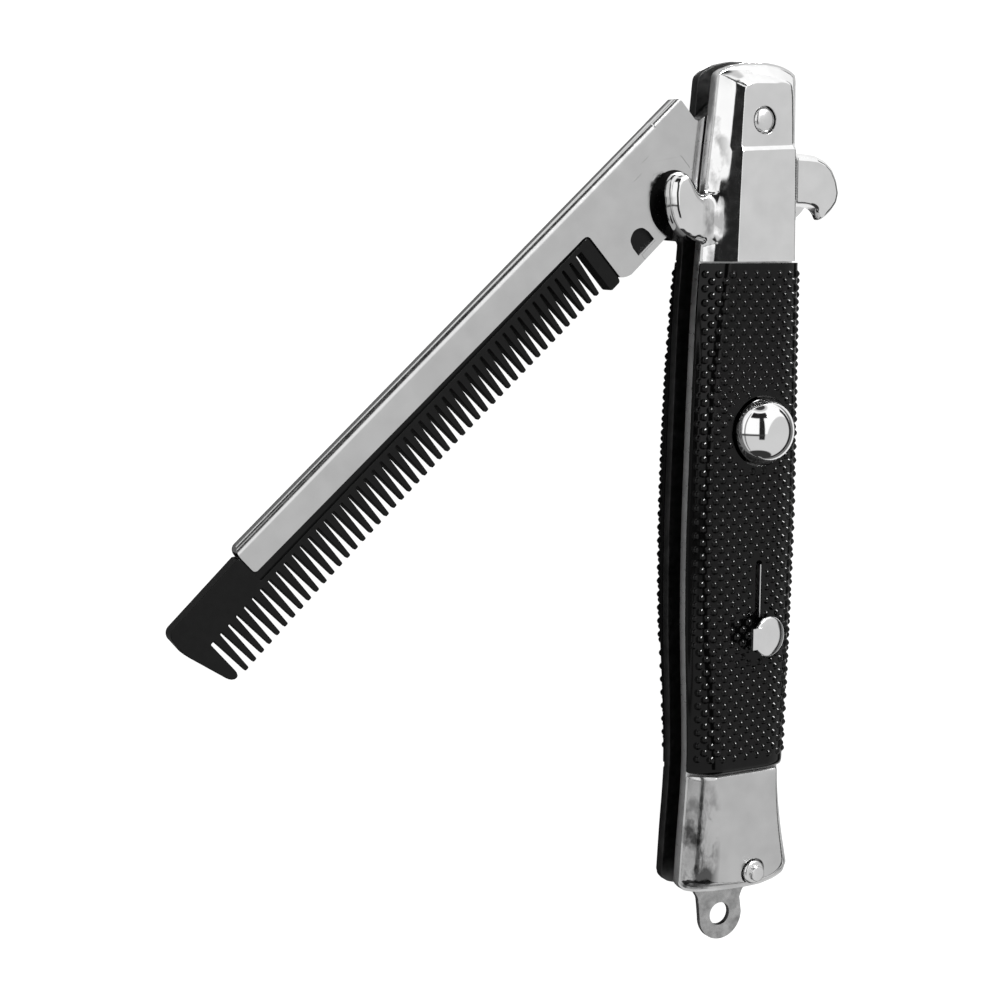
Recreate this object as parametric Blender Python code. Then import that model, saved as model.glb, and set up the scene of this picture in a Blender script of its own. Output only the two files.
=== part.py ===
"""Folding pocket comb, half open: a comb that turns out of a push-button handle.

Every size is in millimetres, in the handle frame: the origin lies on the pivot axis in
the handle's mid-plane, +x is the right of the front, +y runs from the cord ring to the
pivot and +z is the front. The comb has its own frame: u from the pivot to the comb's
tip, v from its spine to its teeth.
"""

import math

import bmesh
import bpy
from mathutils import Matrix, Vector

MM = 0.001
GAP = 0.3                              # left between pieces that touch
SLOT_HALF = 1.65                       # half the slot that the comb folds into
LINER_FACE = SLOT_HALF + 1.5           # outer face of a liner
COVER_BASE = LINER_FACE + GAP          # where grips and bolsters start
CROWN = 7.35                           # mid-plane to the crown of a grip
ORIGIN = Vector((0.0, 56.0, CROWN))    # pivot, from the middle of the handle's flat back

COMB_BELOW_LEFT = math.radians(42.18)  # how far the comb points down from due left
U_AXIS = Vector((-math.cos(COMB_BELOW_LEFT), -math.sin(COMB_BELOW_LEFT), 0.0))
V_AXIS = Vector((math.sin(COMB_BELOW_LEFT), -math.cos(COMB_BELOW_LEFT), 0.0))

# Side edges of the liners, from the pivot end down: (y, x).
LEFT_EDGE = [
    (6.0, -7.0), (0.0, -7.6), (-8.8, -8.6), (-18.4, -9.25), (-27.0, -9.9),
    (-36.0, -10.25), (-49.0, -10.65), (-62.0, -10.95), (-76.0, -10.9),
    (-88.0, -10.45), (-97.0, -10.2), (-103.0, -10.4), (-110.0, -10.9), (-117.5, -11.35),
]
RIGHT_EDGE = [
    (6.0, 7.4), (0.0, 7.5), (-8.8, 7.55), (-18.4, 7.65), (-27.0, 7.7),
    (-36.0, 7.8), (-49.0, 7.95), (-62.0, 7.95), (-76.0, 7.6),
    (-88.0, 7.2), (-97.0, 6.9), (-103.0, 7.1), (-110.0, 7.9), (-117.3, 9.3),
]
# Rounded ends of the liners, from the end to the sides: (left x, left y, right x, right y).
# The rear liner stands a little higher at the pivot end than the front one.
TOP_END = {
    "front": [(-1.3, 8.55, 1.9, 8.58), (-3.8, 8.12, 4.3, 8.25), (-5.8, 7.45, 6.2, 7.6),
              (-6.85, 6.8, 7.25, 6.95)],
    "rear": [(-1.3, 9.0, 1.9, 9.05), (-3.8, 8.4, 4.3, 8.6), (-5.8, 7.5, 6.2, 7.8),
             (-6.85, 6.6, 7.25, 6.95)],
}
BOTTOM_END = [(-2.0, -119.85, 1.5, -120.0), (-5.0, -119.65, 4.3, -119.95),
              (-8.2, -119.25, 6.9, -119.45), (-10.3, -118.6, 8.7, -118.65)]
BOTTOM_BOLSTER_INSET = 0.5             # how far the liners reach past the bottom bolsters

GRIP_TOP = -21.15
GRIP_BOTTOM = -99.7
GRIP_FLAT = 4.4                        # half the flat crown of a grip
# Grip section, from the base edge to the flat crown: (part of the inset, of the height).
GRIP_FULL = [(0.0, 0.0), (0.0, 0.2), (0.08, 0.5), (0.2, 0.72), (0.4, 0.87), (0.69, 0.955),
             (1.0, 1.0)]
GRIP_SLOPING = [(0.0, 0.0), (0.0, 0.06), (0.19, 0.31), (0.38, 0.56), (0.58, 0.78),
                (0.8, 0.93), (1.0, 1.0)]
# How full the left side of a grip is, sloping towards both ends: (y, fullness).
GRIP_FULLNESS = [(-21.15, 0.1), (-27.0, 0.3), (-36.0, 0.75), (-49.0, 1.0), (-62.0, 1.0),
                 (-76.0, 0.8), (-88.0, 0.4), (-99.7, 0.0)]

# Flat face of the top bolster, from the pivot end down: (left x, left y, right x, right y, z).
TOP_FACE = [
    (-0.6, 4.3, 0.9, 4.3, 5.95), (-1.9, 4.2, 2.6, 4.2, 5.95), (-3.0, 3.9, 3.9, 3.9, 5.95),
    (-3.45, 3.3, 4.45, 3.3, 5.95), (-3.6, 2.3, 4.65, 2.3, 5.95), (-3.75, -0.5, 4.85, -0.5, 5.95),
    (-3.85, -3.8, 4.95, -3.3, 5.95), (-3.95, -4.9, 5.2, -4.4, 6.4),
    (-4.2, -12.0, 5.4, -12.0, 6.4), (-4.35, -20.85, 5.6, -20.85, 6.4),
]
TOP_SIDE_Y = [6.0, -0.5, -3.8, -4.9, -12.0, -20.85]
# Flat face of the bottom bolster, from its top edge down, in the same columns.
BOTTOM_FACE = [
    (-6.0, -100.3, 5.0, -100.3, 5.75), (-6.1, -105.0, 5.1, -105.0, 5.75),
    (-6.4, -110.0, 5.6, -110.0, 5.75), (-7.1, -114.3, 6.3, -114.3, 5.7),
    (-7.4, -115.7, 6.6, -115.5, 5.6), (-7.1, -116.5, 6.3, -116.6, 5.5),
    (-6.0, -117.2, 5.3, -117.4, 5.4), (-4.0, -117.6, 3.6, -117.9, 5.4),
    (-1.8, -117.9, 1.1, -118.1, 5.4),
]
BOTTOM_SIDE_Y = [-100.3, -105.0, -110.0, -114.5, -117.3]
BOLSTER_PROFILE = [(0.0, 0.0), (0.0, 0.12), (0.45, 0.56), (0.9, 0.94), (1.0, 1.0)]

# Wings of the top bolster, from the bolster out: (outer x, y, inner x, y, height z).
RIGHT_WING = [
    (6.6, -4.8, 6.6, -12.6, 5.4), (8.6, -4.7, 8.4, -12.65, 5.4), (10.7, -4.9, 9.5, -12.75, 5.35),
    (12.5, -5.6, 10.1, -12.95, 5.3), (13.8, -6.7, 10.6, -13.25, 5.2),
    (14.8, -8.5, 10.95, -13.6, 5.1), (15.3, -10.6, 11.2, -14.0, 5.0),
    (14.9, -12.2, 11.35, -14.35, 4.9), (13.95, -13.4, 11.5, -14.7, 4.7),
    (12.9, -14.3, 11.9, -14.85, 4.4),
]
LEFT_WING = [
    (-6.8, -18.2, -6.8, -10.1, 5.5), (-9.2, -17.95, -8.6, -11.0, 5.5),
    (-11.4, -17.8, -9.6, -11.0, 5.5), (-13.0, -17.3, -10.4, -10.6, 5.5),
    (-14.2, -16.3, -10.9, -10.15, 5.45), (-15.1, -14.9, -11.25, -9.7, 5.4),
    (-15.7, -13.0, -11.55, -9.25, 5.3), (-15.85, -10.9, -11.8, -8.85, 5.2),
    (-15.6, -9.2, -12.05, -8.45, 5.05), (-14.8, -8.15, -12.4, -8.05, 4.85),
    (-13.7, -7.7, -12.95, -7.75, 4.5),
]
WING_ROUNDING = 1.1
WING_PROFILE = [(0.0, 0.0), (0.0, 0.3), (0.3, 0.75), (1.0, 1.0)]

PIVOT_SHAFT = 1.5
PIVOT_HEAD = 1.8
PIVOT_HEAD_TOP = 6.3
RIVET = (1.2, -116.65)
RIVET_SHAFT = 1.0
RIVET_HEAD = 1.9
RIVET_STEP = 1.2

BUTTON_Y = -46.4
BUTTON_HOLE = 5.42
BUTTON_FLANGE = BUTTON_HOLE - GAP
# Button section from its underside to the top: (radius, z).
BUTTON_SECTION = [
    (0.0, 4.65), (BUTTON_FLANGE, 4.65), (BUTTON_FLANGE, 5.4), (4.95, 5.9), (4.9, 7.0),
    (4.6, 8.3), (3.9, 9.5), (3.0, 10.55), (1.6, 11.3), (0.0, 11.55),
]

SAFETY_SLOT_TOP = -66.3
SAFETY_SLOT_BOTTOM = -80.8
SAFETY_SLOT_HALF = 0.6
SAFETY_Y = -77.9
SAFETY_BLADE_HALF = (0.3, 1.65)        # half its thickness, half its length
KNOB_X = 0.6
KNOB_Z = 9.3
KNOB_RADIUS = 3.1
KNOB_TILT = math.radians(7.0)
# Knob section about its middle: (radius, z).
KNOB_SECTION = [
    (0.0, -0.6), (2.7, -0.6), (KNOB_RADIUS, -0.3), (KNOB_RADIUS, 0.1), (2.7, 0.35),
    (1.5, 0.6), (0.0, 0.7),
]
KNOB_LUG = (-3.6, -1.5, 1.65, 0.35)    # left x, right x, half length, half thickness

TAB_HALF = 0.45
# Plan of the ring tab between rivet and ring, downwards: (left x, right x, y).
TAB_ROOT = [(-2.6, 3.4, -117.6), (-6.5, 3.9, -119.0), (-6.3, 3.6, -120.5), (-5.75, 2.8, -121.5),
            (-5.55, 2.35, -122.6)]
TAB_LOBE = 1.9
RING_CENTRE = (-1.3, -125.05)
RING_OUTER = 4.0
HOLE_CENTRE = (-1.5, -124.85)
RING_HOLE = 1.85

SPACER = (4.7, 6.4, -18.0, -112.0)     # left x, right x, top y, bottom y

SHEET = 0.5
CHANNEL_HALF = 1.35
SPINE_START = (6.95, -10.98)           # the spine's line in the comb's plan, (u, v)
SPINE_END = (101.0, -11.77)
SPINE_ROUNDING = 1.3
SPINE_WALL = 0.9                       # from the spine's back to the inside of its fold
METAL_EDGE_START = (34.0, -6.15)       # the sheet's edge towards the teeth
METAL_EDGE_END = (101.0, -7.15)
CAVITY_U = 11.0                        # the tang is solid round the pivot up to here
TANG_LOBE = 5.6
# Rounded notch in the tang, an ellipse in the handle's plan as the comb stands half open.
NOTCH_CENTRE = (-12.89, -12.3)
NOTCH_HALF = (4.3, 4.9)
INNER_NOTCH_HALF = (3.4, 4.0)          # the same notch in the plastic between the sheets
# Window in the tang, a half round with its flat to the teeth: (u, v).
WINDOW = [(23.85, 2.05), (23.85, 0.6), (24.35, -0.6), (25.65, -1.15), (27.0, -0.6), (27.5, 0.6),
          (27.5, 2.05)]

TOOTH_COUNT = 47
TOOTH_PITCH = 1.612
TOOTH_PITCH_GROWTH = 0.0003            # the teeth stand a little wider towards the pivot
LAST_TOOTH_U = 110.76
# The lines of the teeth's tips and roots: (u, v).
TOOTH_TIPS = [(35.0, 2.05), (44.0, 2.08), (57.0, 1.9), (70.0, 1.72), (80.0, 1.66), (91.0, 1.72),
              (101.0, 1.9), (112.0, 2.2)]
TOOTH_ROOTS = [(35.0, -4.9), (90.0, -5.05), (98.0, -4.97), (105.0, -4.8), (112.0, -4.55)]
TOOTH_TIP_HALF = 0.36
TOOTH_ROOT_HALF = 0.61
PLASTIC_EDGE_V = -5.75                 # where the thick plastic ends, beside the sheet's edge
TEETH_HALF = 1.2                       # half the thickness of the plastic that shows
TIP_DEPTH_HALF = 0.3                   # half the thickness of a tooth at its tip
THINNING = (34.6, 111.9, -4.5, 2.6)    # where the teeth thin: u and v, from and to
TONGUE_HALF = CHANNEL_HALF - SHEET - GAP
TONGUE_EDGE_V = 2.3                    # edge of the plastic inside the tang


def edge_x(table, y):
    """x of a side edge at y, between the rows of its table."""
    for (y0, x0), (y1, x1) in zip(table, table[1:]):
        if y >= y1:
            return x0 + (x1 - x0) * (y0 - y) / (y0 - y1)
    return table[-1][1]


def line_v(line, u):
    """v at u on a line of the comb's plan, between the points of its table."""
    for (u0, v0), (u1, v1) in zip(line, line[1:]):
        if u <= u1:
            return v0 + (v1 - v0) * (u - u0) / (u1 - u0)
    return line[-1][1]


def comb_point(u, v):
    """A point of the comb's plan in the handle's plan."""
    point = U_AXIS * u + V_AXIS * v
    return point.x, point.y


def arc(centre, radius, start, end, count):
    """Points of an arc, angles in degrees, both ends included."""
    angles = [math.radians(start + (end - start) * i / (count - 1)) for i in range(count)]
    return [(centre[0] + radius * math.cos(a), centre[1] + radius * math.sin(a)) for a in angles]


# Bodies: a pair of corner list and face list.

def plate(outline, low, high):
    """A flat plate between two heights; the lower one may be given corner by corner."""
    count = len(outline)
    lows = low if isinstance(low, list) else [low] * count
    corners = [(x, y, z) for (x, y), z in zip(outline, lows)]
    corners += [(x, y, high) for x, y in outline]
    faces = [tuple(reversed(range(count))), tuple(range(count, 2 * count))]
    for i in range(count):
        j = (i + 1) % count
        faces.append((i, j, count + j, count + i))
    return corners, faces


def shell(base, face, profiles, low):
    """A cover rising from a base outline to a flat face.

    Both are lists of rungs (left x, left y, right x, right y), the face with its height
    as a fifth column. Each point of the ring, down the left side and up the right one,
    has its own profile: the inset and the height of every ring between base and face.
    """
    rungs = len(base)
    around = 2 * rungs
    base_ring = [rung[0:2] for rung in base] + [rung[2:4] for rung in reversed(base)]
    face_ring = [rung[0:2] for rung in face] + [rung[2:4] for rung in reversed(face)]
    heights = [rung[4] for rung in face] + [rung[4] for rung in reversed(face)]
    corners = []
    for ring in range(len(profiles[0])):
        for i in range(around):
            (bx, by), (fx, fy) = base_ring[i], face_ring[i]
            inset, rise = profiles[i][ring]
            corners.append((bx + (fx - bx) * inset, by + (fy - by) * inset,
                            low + (heights[i] - low) * rise))
    top = around * (len(profiles[0]) - 1)
    faces = []
    for ring in range(0, top, around):
        for i in range(around):
            j = (i + 1) % around
            faces.append((ring + i, ring + j, ring + around + j, ring + around + i))
    for i in range(rungs - 1):
        j = around - 1 - i
        faces.append((i, j, j - 1, i + 1))
        faces.append((top + i, top + i + 1, top + j - 1, top + j))
    return corners, faces


def turned(section, centre, segments):
    """A body turned about an upright axis, its section starting and ending on the axis."""
    corners = [(centre[0], centre[1], section[0][1])]
    for radius, z in section[1:-1]:
        for i in range(segments):
            angle = 2 * math.pi * i / segments
            corners.append((centre[0] + radius * math.cos(angle),
                            centre[1] + radius * math.sin(angle), z))
    corners.append((centre[0], centre[1], section[-1][1]))
    last = len(corners) - 1
    rings = len(section) - 2
    faces = []
    for i in range(segments):
        j = (i + 1) % segments
        faces.append((0, 1 + j, 1 + i))
        for ring in range(rings - 1):
            start = 1 + ring * segments
            faces.append((start + i, start + j, start + segments + j, start + segments + i))
        start = 1 + (rings - 1) * segments
        faces.append((start + i, start + j, last))
    return corners, faces


def rod(centre, radius, low, high, segments):
    """A plain round bar, used for pins and holes."""
    return turned([(0.0, low), (radius, low), (radius, high), (0.0, high)], centre, segments)


def to_rear(body):
    """The same body on the other side of the mid-plane."""
    corners, faces = body
    return [(x, y, -z) for x, y, z in corners], [tuple(reversed(face)) for face in faces]


def tilted(body, centre, angle):
    """A body turned about the y axis through a point."""
    corners, faces = body
    centre = Vector(centre)
    turn = Matrix.Rotation(angle, 3, "Y")
    return [tuple(turn @ Vector(corner) + centre) for corner in corners], faces


# Objects.

def clear_scene():
    for item in list(bpy.data.objects):
        bpy.data.objects.remove(item, do_unlink=True)


def make_material(name, colour, metallic, roughness):
    material = bpy.data.materials.new(name)
    material.use_nodes = True
    shader = material.node_tree.nodes["Principled BSDF"]
    shader.inputs["Base Color"].default_value = (*colour, 1.0)
    shader.inputs["Metallic"].default_value = metallic
    shader.inputs["Roughness"].default_value = roughness
    return material


def make_object(name, body, material=None):
    """A mesh object from a body, its faces turned outwards."""
    corners, faces = body
    mesh = bpy.data.meshes.new(name)
    mesh.from_pydata([(Vector(corner) + ORIGIN) * MM for corner in corners], [], faces)
    build = bmesh.new()
    build.from_mesh(mesh)
    bmesh.ops.recalc_face_normals(build, faces=build.faces)
    build.to_mesh(mesh)
    build.free()
    if material:
        mesh.materials.append(material)
    item = bpy.data.objects.new(name, mesh)
    bpy.context.scene.collection.objects.link(item)
    return item


def combine(item, operation, bodies):
    """Add bodies to an object or cut them from it, one after the other."""
    for body in bodies:
        tool = make_object("tool", body)
        step = item.modifiers.new("step", "BOOLEAN")
        step.operation = operation
        step.solver = "EXACT"
        step.object = tool
        graph = bpy.context.evaluated_depsgraph_get()
        result = bpy.data.meshes.new_from_object(item.evaluated_get(graph))
        item.modifiers.clear()
        item.data = result
        bpy.data.objects.remove(tool, do_unlink=True)


def round_edges(item, along, size, segments):
    """Round the edges whose two ends both pass a test on their handle-frame position."""
    build = bmesh.new()
    build.from_mesh(item.data)
    edges = [edge for edge in build.edges
             if all(along(vert.co / MM - ORIGIN) for vert in edge.verts)]
    bmesh.ops.bevel(build, geom=edges, offset=size * MM, segments=segments, profile=0.5,
                    affect="EDGES")
    build.to_mesh(item.data)
    build.free()


def finish(item, joint_at=None):
    """Smooth shading with crisp corners, and the origin on the joint if there is one."""
    item.data.shade_smooth()
    item.data.set_sharp_from_angle(angle=math.radians(32.0))
    if joint_at:
        place = (Vector(joint_at) + ORIGIN) * MM
        item.data.transform(Matrix.Translation(-place))
        item.location = place
    return item


# Handle.

def liner_outline(side):
    ends = TOP_END[side], BOTTOM_END[::-1]
    left = [row[0:2] for row in ends[0]] + [(x, y) for y, x in LEFT_EDGE]
    left += [row[0:2] for row in ends[1]]
    right = [row[2:4] for row in ends[0]] + [(x, y) for y, x in RIGHT_EDGE]
    right += [row[2:4] for row in ends[1]]
    return left + right[::-1]


def add_liner(side, turn, steel):
    body = turn(plate(liner_outline(side), SLOT_HALF, LINER_FACE))
    liner = make_object("liner_" + side, body, steel)
    depth = LINER_FACE + 1.0
    combine(liner, "DIFFERENCE", [
        rod((0.0, 0.0), PIVOT_SHAFT + GAP, -depth, depth, 24),
        rod(RIVET, RIVET_SHAFT + GAP, -depth, depth, 20),
    ])
    finish(liner)


def grip_body():
    ys = [GRIP_TOP] + [y for y, _ in LEFT_EDGE if GRIP_BOTTOM < y < GRIP_TOP] + [GRIP_BOTTOM]
    base = [(edge_x(LEFT_EDGE, y), y, edge_x(RIGHT_EDGE, y), y) for y in ys]
    face = []
    left_profiles = []
    for left, y, right, _ in base:
        middle = (left + right) / 2
        face.append((middle - GRIP_FLAT, y, middle + GRIP_FLAT, y, CROWN))
        full = edge_x(GRIP_FULLNESS, y)
        left_profiles.append([(a + (c - a) * full, b + (d - b) * full)
                              for (a, b), (c, d) in zip(GRIP_SLOPING, GRIP_FULL)])
    return shell(base, face, left_profiles + [GRIP_FULL] * len(base), COVER_BASE)


def safety_slot_body():
    """The narrow round-ended slot of the safety knob."""
    top = SAFETY_SLOT_TOP - SAFETY_SLOT_HALF
    bottom = SAFETY_SLOT_BOTTOM + SAFETY_SLOT_HALF
    outline = arc((0.0, top), SAFETY_SLOT_HALF, 0.0, 180.0, 7)
    outline += arc((0.0, bottom), SAFETY_SLOT_HALF, 180.0, 360.0, 7)
    return plate(outline, COVER_BASE - 1.0, CROWN + 1.0)


def add_grips(plastic):
    front = make_object("grip_front", grip_body(), plastic)
    combine(front, "DIFFERENCE", [
        rod((0.0, BUTTON_Y), BUTTON_HOLE, COVER_BASE - 1.0, CROWN + 1.0, 40),
        safety_slot_body(),
    ])
    finish(front)
    finish(make_object("grip_rear", to_rear(grip_body()), plastic))


def wing_body(wing):
    base = []
    face = []
    for outer_x, outer_y, inner_x, inner_y, height in wing:
        outer = Vector((outer_x, outer_y))
        inner = Vector((inner_x, inner_y))
        across = inner - outer
        inset = across.normalized() * min(WING_ROUNDING, across.length * 0.35)
        base.append((*outer, *inner))
        face.append((*(outer + inset), *(inner - inset), height))
    return shell(base, face, [WING_PROFILE] * (2 * len(wing)), COVER_BASE)


def add_top_bolster(side, turn, chrome):
    base = TOP_END[side] + [(edge_x(LEFT_EDGE, y), y, edge_x(RIGHT_EDGE, y), y)
                            for y in TOP_SIDE_Y]
    body = shell(base, TOP_FACE, [BOLSTER_PROFILE] * (2 * len(base)), COVER_BASE)
    bolster = make_object("bolster_top_" + side, turn(body), chrome)
    combine(bolster, "UNION", [turn(wing_body(RIGHT_WING)), turn(wing_body(LEFT_WING))])
    combine(bolster, "DIFFERENCE",
            [turn(rod((0.0, 0.0), PIVOT_HEAD + GAP, COVER_BASE - 1.0, CROWN, 28))])
    finish(bolster)


def add_bottom_bolster(side, turn, chrome):
    base = [(edge_x(LEFT_EDGE, y), y, edge_x(RIGHT_EDGE, y), y) for y in BOTTOM_SIDE_Y]
    base += [(left, left_y + BOTTOM_BOLSTER_INSET, right, right_y + BOTTOM_BOLSTER_INSET)
             for left, left_y, right, right_y in reversed(BOTTOM_END)]
    body = shell(base, BOTTOM_FACE, [BOLSTER_PROFILE] * (2 * len(base)), COVER_BASE)
    bolster = make_object("bolster_bottom_" + side, turn(body), chrome)
    combine(bolster, "DIFFERENCE",
            [turn(rod(RIVET, RIVET_HEAD + GAP, COVER_BASE - 1.0, CROWN, 28))])
    finish(bolster)


def add_pivot_pin(steel):
    head = [(PIVOT_HEAD, COVER_BASE), (PIVOT_HEAD, PIVOT_HEAD_TOP - 0.35),
            (PIVOT_HEAD * 0.75, PIVOT_HEAD_TOP - 0.08)]
    section = [(0.0, -PIVOT_HEAD_TOP)] + [(r, -z) for r, z in reversed(head)]
    section += [(PIVOT_SHAFT, -COVER_BASE), (PIVOT_SHAFT, COVER_BASE)] + head
    section += [(0.0, PIVOT_HEAD_TOP)]
    finish(make_object("pivot_pin", turned(section, (0.0, 0.0), 24), steel))


def add_end_rivet(steel):
    section = [
        (0.0, -6.1), (RIVET_HEAD, -6.1), (RIVET_HEAD, -COVER_BASE), (RIVET_SHAFT, -COVER_BASE),
        (RIVET_SHAFT, COVER_BASE), (RIVET_HEAD, COVER_BASE), (RIVET_HEAD, 6.1),
        (RIVET_HEAD - 0.15, 6.25), (RIVET_STEP, 6.25), (RIVET_STEP, 6.85),
        (RIVET_STEP - 0.15, 7.0), (0.0, 7.0),
    ]
    finish(make_object("end_rivet", turned(section, RIVET, 24), steel))


def add_ring_tab(steel):
    outline = arc(RIVET, TAB_LOBE, 0.0, 180.0, 9)
    outline += [(left, y) for left, _, y in TAB_ROOT]
    outline += arc(RING_CENTRE, RING_OUTER, 180.0, 360.0, 17)
    outline += [(right, y) for _, right, y in reversed(TAB_ROOT)]
    tab = make_object("ring_tab", plate(outline, -TAB_HALF, TAB_HALF), steel)
    combine(tab, "DIFFERENCE", [
        rod(HOLE_CENTRE, RING_HOLE, -1.0, 1.0, 24),
        rod(RIVET, RIVET_SHAFT + GAP, -1.0, 1.0, 20),
    ])
    finish(tab)


def add_back_spacer(steel):
    left, right, top, bottom = SPACER
    outline = [(left, top), (left, bottom), (right, bottom), (right, top)]
    half = SLOT_HALF - GAP
    finish(make_object("back_spacer", plate(outline, -half, half), steel))


def add_push_button(chrome):
    button = make_object("push_button", turned(BUTTON_SECTION, (0.0, BUTTON_Y), 32), chrome)
    finish(button, (0.0, BUTTON_Y, BUTTON_SECTION[0][1]))


def add_safety_slider(chrome):
    centre = (KNOB_X, SAFETY_Y, KNOB_Z)
    knob = tilted(turned(KNOB_SECTION, (0.0, 0.0), 28), centre, KNOB_TILT)
    slider = make_object("safety_slider", knob, chrome)
    left, right, half_length, half_thickness = KNOB_LUG
    lug = [(left, half_length), (left, -half_length), (right, -half_length), (right, half_length)]
    half_x, half_y = SAFETY_BLADE_HALF
    blade = [(half_x, SAFETY_Y + half_y), (-half_x, SAFETY_Y + half_y),
             (-half_x, SAFETY_Y - half_y), (half_x, SAFETY_Y - half_y)]
    combine(slider, "UNION", [
        tilted(plate(lug, -half_thickness, half_thickness), centre, KNOB_TILT),
        plate(blade, COVER_BASE, KNOB_Z),
    ])
    finish(slider, (0.0, SAFETY_Y, COVER_BASE))


# Comb.

def notch(half, start, end, count):
    """Part of the tang's notch, angles in degrees, in the handle's plan."""
    return [(NOTCH_CENTRE[0] + half[0] * x, NOTCH_CENTRE[1] + half[1] * y)
            for x, y in arc((0.0, 0.0), 1.0, start, end, count)]


def channel_outline():
    """Plan of the folded sheet: the spine's channel and the tang, as one outline."""
    end_u, end_v = METAL_EDGE_END
    outline = [SPINE_START, SPINE_END, (end_u, end_v - 0.7), (end_u - 0.2, end_v - 0.2),
               (end_u - 0.7, end_v), METAL_EDGE_START, (32.5, -6.1), (32.1, -5.85),
               (31.9, -5.4), (31.9, 2.4), (31.0, 3.0), (30.2, 3.3), (21.8, 3.3)]
    tail = [(13.2, 5.0)] + arc((0.0, 0.0), TANG_LOBE, 65.0, 270.0, 13)
    tail += [(6.0, -TANG_LOBE), (6.6, -5.8), (6.95, -6.3)]
    return ([comb_point(u, v) for u, v in outline] + notch(NOTCH_HALF, -105.0, -380.0, 17)
            + [comb_point(u, v) for u, v in tail])


def on_spine_corner(point):
    """Whether a point lies on one of the two long corners of the spine."""
    along, across = point.dot(U_AXIS), point.dot(V_AXIS)
    spine = SPINE_START, SPINE_END
    if along > SPINE_END[0] + 0.01 or abs(across - line_v(spine, along)) > 0.01:
        return False
    return abs(abs(point.z) - CHANNEL_HALF) < 0.01


def add_comb_channel(steel):
    body = plate(channel_outline(), -CHANNEL_HALF, CHANNEL_HALF)
    channel = make_object("comb_channel", body, steel)
    round_edges(channel, on_spine_corner, SPINE_ROUNDING, 4)
    inner_half = CHANNEL_HALF - SHEET
    spine = SPINE_START, SPINE_END
    mouth_u = SPINE_END[0] + 1.0
    cavity = [(CAVITY_U, line_v(spine, CAVITY_U) + SPINE_WALL),
              (mouth_u, SPINE_END[1] + SPINE_WALL), (mouth_u, 8.0), (CAVITY_U, 8.0)]
    window = [comb_point(u, v) for u, v in WINDOW]
    combine(channel, "DIFFERENCE", [
        plate([comb_point(u, v) for u, v in cavity], -inner_half, inner_half),
        plate(window, -CHANNEL_HALF - 1.0, CHANNEL_HALF + 1.0),
        rod((0.0, 0.0), PIVOT_SHAFT + GAP, -CHANNEL_HALF - 1.0, CHANNEL_HALF + 1.0, 24),
    ])
    finish(channel, (0.0, 0.0, 0.0))


def tooth_outline(index):
    """One tooth from its tip side to its pivot side, with a blunt tip."""
    u = LAST_TOOTH_U - TOOTH_PITCH * index - TOOTH_PITCH_GROWTH * index ** 2
    tip, root = line_v(TOOTH_TIPS, u), line_v(TOOTH_ROOTS, u)
    side = [(TOOTH_ROOT_HALF, root), (TOOTH_TIP_HALF, tip - 0.35), (TOOTH_TIP_HALF * 0.5, tip)]
    return [(u + x, v) for x, v in side] + [(u - x, v) for x, v in reversed(side)]


def thinning_wedge():
    """What is taken off the front of the teeth, more and more towards their tips."""
    u0, u1, v0, v1 = THINNING
    outline = [comb_point(u, v) for u, v in ((u0, v0), (u1, v0), (u1, v1), (u0, v1))]
    thick, thin = TEETH_HALF + 0.02, TIP_DEPTH_HALF
    return plate(outline, [thick, thick, thin, thin], TEETH_HALF + 1.0)


def add_comb_teeth(plastic):
    start_u = METAL_EDGE_END[0] + GAP
    outline = [(32.8, PLASTIC_EDGE_V), (start_u, PLASTIC_EDGE_V), (start_u, -10.15),
               (start_u + 0.3, -10.35), (114.4, -9.95), (115.05, -9.5), (115.3, -8.8),
               (115.4, -6.2), (115.3, -5.6), (113.75, 0.4), (113.4, 1.1), (112.95, 1.5),
               (112.6, 1.55), (112.25, 1.2), (112.1, 0.5), (112.0, TOOTH_ROOTS[-1][1])]
    for index in range(TOOTH_COUNT):
        outline += tooth_outline(index)
    outline += [(34.3, TOOTH_ROOTS[0][1]), (34.3, 2.4), (34.0, 2.88), (32.5, 2.88), (32.2, 2.5),
                (32.2, -5.1), (32.4, -5.55)]
    body = plate([comb_point(u, v) for u, v in outline], -TEETH_HALF, TEETH_HALF)
    teeth = make_object("comb_teeth", body, plastic)
    combine(teeth, "DIFFERENCE", [thinning_wedge(), to_rear(thinning_wedge())])
    tongue = [(CAVITY_U + GAP, -9.75), (102.5, -10.2), (102.5, -8.0), (99.0, -5.4), (34.0, -5.4),
              (33.4, 2.0), (33.0, TONGUE_EDGE_V), (CAVITY_U + GAP, TONGUE_EDGE_V)]
    combine(teeth, "UNION",
            [plate([comb_point(u, v) for u, v in tongue], -TONGUE_HALF, TONGUE_HALF)])
    combine(teeth, "DIFFERENCE", [plate(notch(INNER_NOTCH_HALF, 0.0, 345.0, 24), -1.0, 1.0)])
    finish(teeth, (0.0, 0.0, 0.0))


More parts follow.
